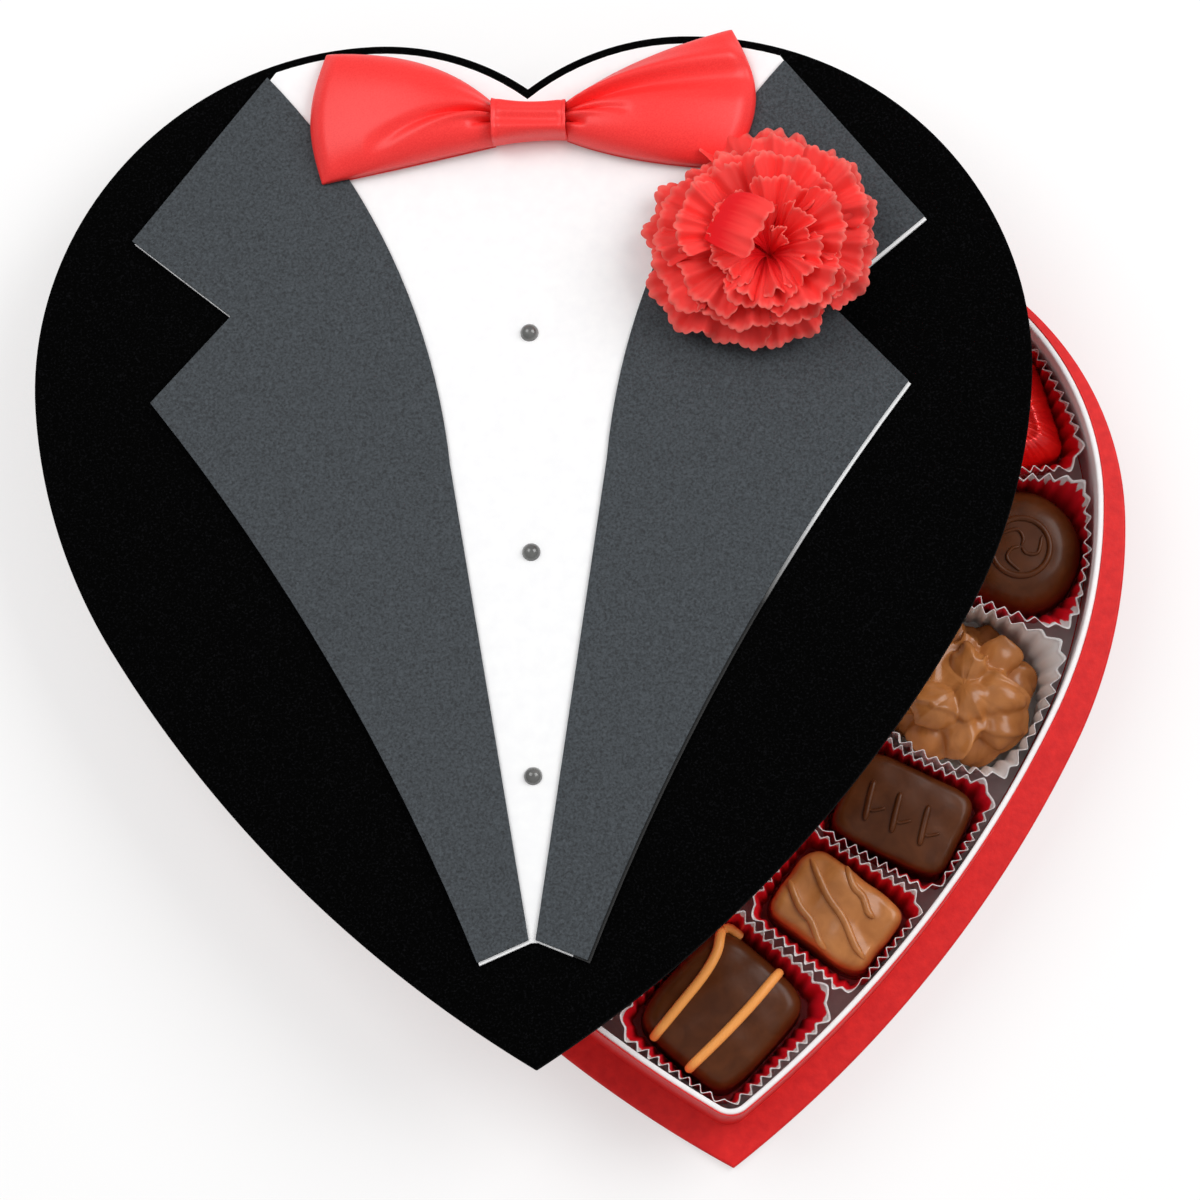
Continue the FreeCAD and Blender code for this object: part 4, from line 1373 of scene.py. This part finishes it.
@dataclass(frozen=True)
class Wing:
    """One wing of the bow: four control points of each edge from the knot out, its bulge and its pleats."""

    top: Points
    low: Points
    bulge: float
    folds: tuple[Fold, ...]


@dataclass(frozen=True)
class Bow:
    """Satin ribbon folded into two wings and drawn in by a knot band; points are about the lid's heart."""

    axes: Axes
    seat: float = 3.5
    cloth: float = 0.3
    wing_mesh: tuple[int, int] = (72, 96)
    crown: float = 7.6
    crown_run: tuple[float, float] = (0.12, 0.9)            # start, and rate along the wing, of its half wave
    crown_power: float = 0.8
    edge_power: float = 3.2
    edge_least: float = 0.1
    end_rise: float = 3.4
    end_turn: float = 0.07
    least_rise: float = 0.3
    fold_widths: tuple[float, float] = (0.8, 0.9)           # at the knot, and what is added by the end
    fold_fade: float = 0.7
    back: float = 0.9
    knot_size: tuple[float, float, float] = (17.2, 9.4, 9.6)
    knot_mesh: tuple[int, int] = (36, 96)
    knot_power: float = 4.0
    knot_taper: float = 0.1
    knot_waist: tuple[float, float] = (0.1, 0.05)           # how far its middle is drawn in, along y and z
    knot_dip: float = 0.25
    knot_sunk: float = 0.2
    knot_middle: tuple[float, float] = (0.8, 99.3)
    ripple: tuple[float, float, float] = (0.3, 1.7, 0.7)    # height, radians per millimetre, slant
    hem: tuple[float, float, float] = (0.35, 0.88, 0.05)    # depth, place and width of a groove by each edge
    wings: dict[Hand, Wing] = field(default_factory=lambda: {
        Hand.LEFT: Wing(((-7.4, 104.0), (-17.0, 113.4), (-29.0, 117.8), (-46.8, 118.2)),
                        ((-7.4, 94.8), (-19.0, 92.4), (-33.0, 89.4), (-47.7, 86.8)), -3.2,
                        (Fold(0.68, -0.02, -3.2, 0.06, 0.75), Fold(0.50, -0.5, -2.8, 0.085, 0.17),
                         Fold(0.56, 0.02, 1.5, 0.06, 0.6), Fold(0.9, 0.75, -0.8, 0.08, 0.5))),
        Hand.RIGHT: Wing(((9.2, 103.2), (17.0, 109.8), (31.0, 116.4), (47.8, 121.0)),
                         ((9.2, 95.6), (18.0, 91.6), (32.0, 88.4), (47.0, 87.6)), 5.6,
                         (Fold(0.76, 0.64, -3.0, 0.07, 2.0), Fold(0.89, 0.80, 1.6, 0.045, 2.0),
                          Fold(0.64, 0.2, -2.4, 0.055, 0.45), Fold(0.43, -0.2, -3.0, 0.085, 0.17),
                          Fold(0.54, 0.3, 1.2, 0.06, 0.4)))})

    def build(self) -> None:
        """Make both wings and the knot."""
        satin = BOW_SATIN.material()
        for hand, wing in self.wings.items():
            name = hand.name.lower()
            shape = self.axes.lay(self.wing(wing, hand))
            piece = show(f"bow_wing_{name}", shape, satin, Body.LID, [f"bow_{name}_wing"])
            self.thicken(piece)
        knot = show("bow_band", self.axes.lay(self.knot()), satin, Body.LID, ["bow_knot"])
        self.thicken(knot)

    def thicken(self, piece: bpy.types.Object) -> None:
        """Give the ribbon its thickness, inwards.

        Args:
            piece: a wing or the knot.
        """
        solid = piece.modifiers.new("ribbon", "SOLIDIFY")
        solid.thickness = self.cloth * MM
        solid.offset = -1

    def wing(self, wing: Wing, hand: Hand) -> Surface:
        """Ribbon that runs out behind, turns at the wing's end and comes back in front.

        A point lies between two cubic edge curves; the front stands over the back by the crown, less at the
        edges and the end, and each fold is a bell-shaped groove along a line from the knot, fading outwards.

        Args:
            wing: its edges and pleats.
            hand: which wing it is.

        Returns:
            Open strip, front face up.
        """
        rows, columns = self.wing_mesh
        run = np.sin(np.linspace(0, 1, rows) * math.pi / 2)[:, None]
        rest = 1 - run
        v = np.linspace(0, 1, columns)[None]
        weights = np.concatenate([rest ** 3, 3 * run * rest ** 2, 3 * run ** 2 * rest, run ** 3], axis=1)
        upper, lower = weights @ np.array(wing.top), weights @ np.array(wing.low)
        plan = lower[:, None] * (1 - v)[..., None] + upper[:, None] * v[..., None]
        plan[..., 0] += wing.bulge * run ** 2 * np.sin(math.pi * v)
        edge = np.clip(1 - np.abs(2 * v - 1) ** self.edge_power, 0, 1) ** 0.5
        start, rate = self.crown_run
        wave = np.sin(math.pi * np.clip(start + rate * run, 0, 1)) ** self.crown_power
        swell = self.end_rise + (self.crown - self.end_rise) * wave
        rise = swell * (self.edge_least + (1 - self.edge_least) * edge)
        narrow, widen = self.fold_widths
        for fold in wing.folds:
            line = fold.at_knot + (fold.at_end - fold.at_knot) * run
            bell = np.exp(-((v - line) / (fold.width * (narrow + widen * run))) ** 2)
            rise = rise + fold.depth * bell * np.clip(1 - run / fold.reach, 0, 1) ** self.fold_fade
        turn = np.clip((run - 1 + self.end_turn) / self.end_turn, 0, 1)
        close = np.sqrt(np.clip(1 - turn ** 2, 0, 1))
        front = self.seat + self.back + np.maximum(rise, self.least_rise) * close
        back = self.seat + self.back * (1 - close)
        sheet = np.concatenate([
            np.concatenate([plan, np.broadcast_to(back, plan.shape[:2])[..., None]], axis=2),
            np.concatenate([plan, front[..., None]], axis=2)[-2::-1]])
        return grid(sheet if hand is Hand.LEFT else sheet[:, ::-1])

    def knot(self) -> Surface:
        """Band round the middle: a rounded oblong loop carried across the knot, drawn in at its middle.

        Its front has slanting ripples and a groove along each edge.

        Returns:
            Open sleeve, outside out.
        """
        width, length, height = self.knot_size
        columns, around = self.knot_mesh
        loop = oblong(length / 2, height / 2, self.knot_power, around)[None]
        across = np.linspace(-1, 1, columns)[:, None]
        inner = 1 - across ** 2
        y = loop[..., 0] * (1 - self.knot_waist[0] * inner - self.knot_taper * across)
        y = y - self.knot_dip * inner * (loop[..., 0] > -NEARLY)
        z = loop[..., 1] * (1 - self.knot_waist[1] * inner)
        crest, per_mm, slant = self.ripple
        ripple = crest * np.sin(per_mm * y + slant * across) * (1 - np.abs(across) ** 6)
        depth, place, spread = self.hem
        groove = depth * np.exp(-((np.abs(across) - place) / spread) ** 2)
        x = np.broadcast_to(across * width / 2, y.shape)
        middle = np.array([*self.knot_middle, height / 2 + self.seat - self.knot_sunk])
        points = np.stack([x, y, z + (ripple - groove) * (z > 0)], axis=-1)
        return grid(points + middle, loop_columns=True)


@dataclass(frozen=True)
class PetalLayer:
    """One ring of petals: how many, how long, how steeply they leave the middle and how they end.

    First is the direction of the first petal and curls are added to single petals' ends, in degrees. Petals
    leave from the start radius, and fan out from a point that lies behind the middle by back.
    """

    count: int
    length: float
    leave: float
    finish: float
    spread: float
    ruffle: float
    base: float
    first: float = 0.0
    curls: tuple[float, ...] = ()
    start: float = 0.0
    back: float = 0.0

    def bends(self) -> Array:
        """Angle at the end of each petal, in degrees."""
        return self.finish + np.array(self.curls or (0.0,) * self.count)


@dataclass(frozen=True)
class Carnation:
    """Cloth carnation: five rings of crimped petals with scalloped edges, placed about the lid's heart."""

    axes: Axes
    middle: tuple[float, float] = (54.4, 68.0)
    drift: tuple[float, float] = (1.6, -4.2)
    seat: float = 4.0
    cloth: float = 0.18
    eye: float = 0.5
    tooth: float = 2.1
    tooth_depth: float = 0.75
    tooth_power: float = 0.7
    tooth_points: int = 7
    lobes: float = 1.3
    lobe_depth: float = 0.05
    corner_depth: float = 0.12
    narrow: float = 0.45                                    # share of its spread that a petal starts with
    shingle: float = 1.3
    frill: float = 0.3
    # Ranges of the seeded differences between petals; angles in degrees, but the turn in radians
    length_sway: tuple[float, float] = (0.88, 1.09)
    leave_sway: tuple[float, float] = (-8.0, 8.0)
    finish_sway: tuple[float, float] = (-19.0, 19.0)
    base_sway: tuple[float, float] = (-0.5, 0.5)
    wave_sway: tuple[float, float] = (1.0, 1.5)
    cup_sway: tuple[float, float] = (0.2, 1.0)
    turn_sway: tuple[float, float] = (-0.17, 0.17)
    least_bend: float = 0.05
    rows: int = 26
    seed: int = 40
    # Count, length, leave, finish, spread, ruffle, base, first and curls of each ring, from outside
    layers: tuple[PetalLayer, ...] = (
        PetalLayer(9, 27.0, 24.0, -12.0, 29.0, 1.3, 3.6, 10.0),
        PetalLayer(8, 25.6, 36.0, -2.0, 33.0, 1.5, 4.6, 30.0),
        PetalLayer(7, 23.2, 50.0, 12.0, 37.0, 1.7, 5.4, 60.0),
        PetalLayer(6, 20.4, 64.0, 26.0, 40.0, 1.6, 6.2, 80.0),
        PetalLayer(4, 16.0, 80.0, 52.0, 52.0, 0.9, 7.4, -62.0, (-45.0, 12.0, -56.0, -52.0)),
    )
    # One petal of the last ring that folds over the middle
    folded: PetalLayer = PetalLayer(1, 17.0, 118.0, 194.0, 27.0, 0.5, 16.2, 148.0, start=13.5, back=13.0)

    def build(self) -> None:
        """Make each ring for the frame's ring of the same number."""
        for i, layer in enumerate(self.layers):
            group = [layer, self.folded] if layer is self.layers[-1] else [layer]
            petals = joined([self.ring(i, each) for each in group])
            piece = show(f"carnation_ring_{i + 1}", self.axes.lay(petals), PETAL_CLOTH.material(), Body.LID,
                         [f"flower_petals_{i + 1}"], crease=180.0)
            solid = piece.modifiers.new("cloth", "SOLIDIFY")
            solid.thickness = self.cloth * MM

    def cut(self, layer: PetalLayer) -> tuple[float, float]:
        """Size of a ring's petals laid flat side by side.

        Args:
            layer: the ring.

        Returns:
            Their widths together, and their areas together.
        """
        t = np.linspace(0, 1, 60)
        leave = math.radians(layer.leave)
        bend = np.radians(layer.bends())[:, None] - leave
        radius = self.eye + layer.start + layer.back
        radius = radius + layer.length * (np.sin(leave + bend * t) - math.sin(leave)) / bend
        width = 2 * math.radians(layer.spread) * self.widen(t) * radius
        return float(width.max(axis=1).sum()), float(width.mean(axis=1).sum() * layer.length)

    def widen(self, out: Array) -> Array:
        """Share of its spread that a petal has at shares of its length."""
        return self.narrow + (1 - self.narrow) * out

    def ring(self, index: int, layer: PetalLayer) -> Surface:
        """Petals of one ring, worked out together.

        Along a petal its slope a changes evenly from the leaving to the finishing angle, so that its radius
        is the integral of cos a and its height that of sin a. Ruffles move points along the petal's normal,
        more towards the edge; one side is lifted over the next petal; the edge has round teeth on lobes.

        Args:
            index: number of the ring from outside.
            layer: its sizes.

        Returns:
            The petals, with a value for how far out a point lies, less along darker veins.
        """
        rng = np.random.default_rng(self.seed + index)
        full = 2 * math.pi

        def each(low: float, high: float) -> Array:
            """One seeded value per petal."""
            return rng.uniform(low, high, layer.count)[:, None, None]

        def wave(turns: Array) -> Array:
            """Sine of whole turns."""
            return np.sin(full * turns)

        teeth = round(2 * math.radians(layer.spread) * 0.85 * layer.length / self.tooth)
        s = np.linspace(-1, 1, self.tooth_points * teeth + 1)[None, None]
        t = np.linspace(0, 1, self.rows)[None, :, None]
        length = layer.length * each(*self.length_sway)
        leave = np.radians(layer.leave + each(*self.leave_sway))
        bend = np.radians(layer.bends()[:, None, None] + each(*self.finish_sway)) - leave
        bend = np.where(np.abs(bend) < self.least_bend, self.least_bend, bend)
        tooth = np.abs(np.sin(math.pi * (teeth / 2 * s + each(0, 1)))) ** self.tooth_power
        lobes = 0.5 - 0.5 * np.cos(full * (self.lobes * s + each(0, 1)))
        cut = self.tooth_depth / layer.length * (1 - tooth)
        out = t * (1 - t ** 7 * (cut + self.lobe_depth * lobes + self.corner_depth * s ** 4))
        slope = leave + bend * out
        radius = self.eye + layer.start + layer.back + length * (np.sin(slope) - np.sin(leave)) / bend
        height = layer.base + each(*self.base_sway) + length * (np.cos(leave) - np.cos(slope)) / bend
        waves = each(*self.wave_sway)
        shift = each(0, 1)
        ruffle = wave(waves * s + shift) + 0.45 * wave(2.3 * waves * s + 2.7 * shift)
        push = layer.ruffle * out ** 2 * ruffle + self.frill * out ** 6 * wave(teeth / 4 * s + shift)
        push = push + each(*self.cup_sway) * s ** 2 * out + self.shingle * s * out
        turn = math.radians(layer.first) + full * np.arange(layer.count)[:, None, None] / layer.count
        turn = turn + each(*self.turn_sway)
        swing = np.radians(layer.spread) * s * self.widen(out)
        reach = radius - np.sin(slope) * push
        share = index / (len(self.layers) - 1)
        x, y = (middle + drift * share + reach * way(turn + swing) - layer.back * way(turn)
                for middle, drift, way in zip(self.middle, self.drift, (np.cos, np.sin)))
        z = self.seat + height + np.cos(slope) * push
        vein = 0.5 + 0.25 * wave(5 * s + 3 * shift) + 0.25 * wave(8.3 * s + 5 * shift)
        points = np.stack(np.broadcast_arrays(x, y, z), axis=-1)
        # Tone for the cloth's painted shade and light: low at the petals' bases in the hollows, highest at
        # the edge, less along the veins
        tone = np.broadcast_to(np.clip(t - 0.45 * (1 - t) * vein, 0, 1), points.shape[:3])
        return joined([grid(p[:, ::-1], outward=v[:, ::-1]) for p, v in zip(points, tone)])


# Studio

@dataclass(frozen=True)
class Studio:
    """Pale floor, soft lights, and the camera where the photograph was taken from."""

    eye: tuple[float, float, float] = (-36.8, -181.4, 1181.8)
    target: tuple[float, float, float] = (-19.9, 26.1, 0.0)
    focal_pixels: float = 5100.0
    floor_size: float = 6.0
    floor_colour: str = "bcbcbc"
    floor_glow: float = 0.5
    sky: float = 0.46
    box_size: float = 0.9
    boxes: dict[str, tuple[tuple[float, float, float], float]] = field(default_factory=lambda: {
        "soft_box_left": ((-0.75, 0.55, 1.25), 8.0), "soft_box_right": ((0.9, 0.35, 1.1), 10.4)})

    def build(self) -> None:
        """Make the floor, the lights and the camera."""
        self.floor()
        self.lights()
        self.camera()

    def floor(self) -> None:
        """Pale floor that looks white where it is open and keeps the object's shadow."""
        mesh = bpy.data.meshes.new("studio_floor")
        half = self.floor_size / 2
        corners = [(-half, -half, 0), (half, -half, 0), (half, half, 0), (-half, half, 0)]
        mesh.from_pydata(corners, [], [(0, 1, 2, 3)])
        floor = bpy.data.objects.new("studio_floor", mesh)
        bpy.context.scene.collection.objects.link(floor)
        paint = bpy.data.materials.new("white_paper_sweep")
        paint.use_nodes = True
        tree = paint.node_tree
        feed(tree, tree.nodes["Principled BSDF"], {
            "Base Color": linear(self.floor_colour), "Roughness": 0.9, "Specular IOR Level": 0.0,
            "Emission Color": (1, 1, 1, 1), "Emission Strength": self.seen(tree, self.floor_glow)})
        mesh.materials.append(paint)

    @staticmethod
    def seen(tree: Tree, strength: float) -> Socket:
        """A strength for rays that are seen: camera, glossy and transmission rays.

        Args:
            tree: the material's nodes.
            strength: for those rays.

        Returns:
            The strength, which is nought for other rays.
        """
        path = add_node(tree, "LightPath", {}).outputs
        direct = reckon(tree, "MAXIMUM", path["Is Camera Ray"], path["Is Glossy Ray"])
        both = reckon(tree, "MAXIMUM", direct, path["Is Transmission Ray"])
        return reckon(tree, "MULTIPLY", both, strength)

    def lights(self) -> None:
        """Even sky and two large soft boxes."""
        world = bpy.data.worlds.new("studio_sky")
        world.use_nodes = True
        tree = world.node_tree
        feed(tree, tree.nodes["Background"], {"Color": (1, 1, 1, 1), "Strength": self.sky})
        bpy.context.scene.world = world
        for name, (place, power) in self.boxes.items():
            lamp = bpy.data.lights.new(name, "AREA")
            lamp.size = self.box_size
            lamp.energy = power
            box = bpy.data.objects.new(name, lamp)
            box.location = place
            box.rotation_euler = (-Vector(place)).to_track_quat("-Z", "Y").to_euler()
            bpy.context.scene.collection.objects.link(box)

    def camera(self) -> None:
        """Camera with no shift, at the photograph's place and focal length."""
        lens = bpy.data.cameras.new("camera")
        lens.sensor_width = 36.0
        lens.lens = lens.sensor_width * self.focal_pixels / IMAGE_WIDTH
        lens.clip_start, lens.clip_end = 0.01, 20.0
        camera = bpy.data.objects.new("camera", lens)
        eye, target = Vector(self.eye) * MM, Vector(self.target) * MM
        camera.location = eye
        camera.rotation_euler = (target - eye).to_track_quat("-Z", "Y").to_euler()
        bpy.context.scene.collection.objects.link(camera)
        bpy.context.scene.camera = camera


def main() -> None:
    """Build the box piece by piece, then the studio."""
    logging.basicConfig(level=logging.INFO, format="%(message)s")
    bpy.context.scene.view_settings.view_transform = "Standard"
    Tray().build()
    Assortment().build()
    axes = Axes.of_lid()
    Lid(axes).build()
    Bow(axes).build()
    Carnation(axes).build()
    Studio().build()


if __name__ == "__main__":
    main()
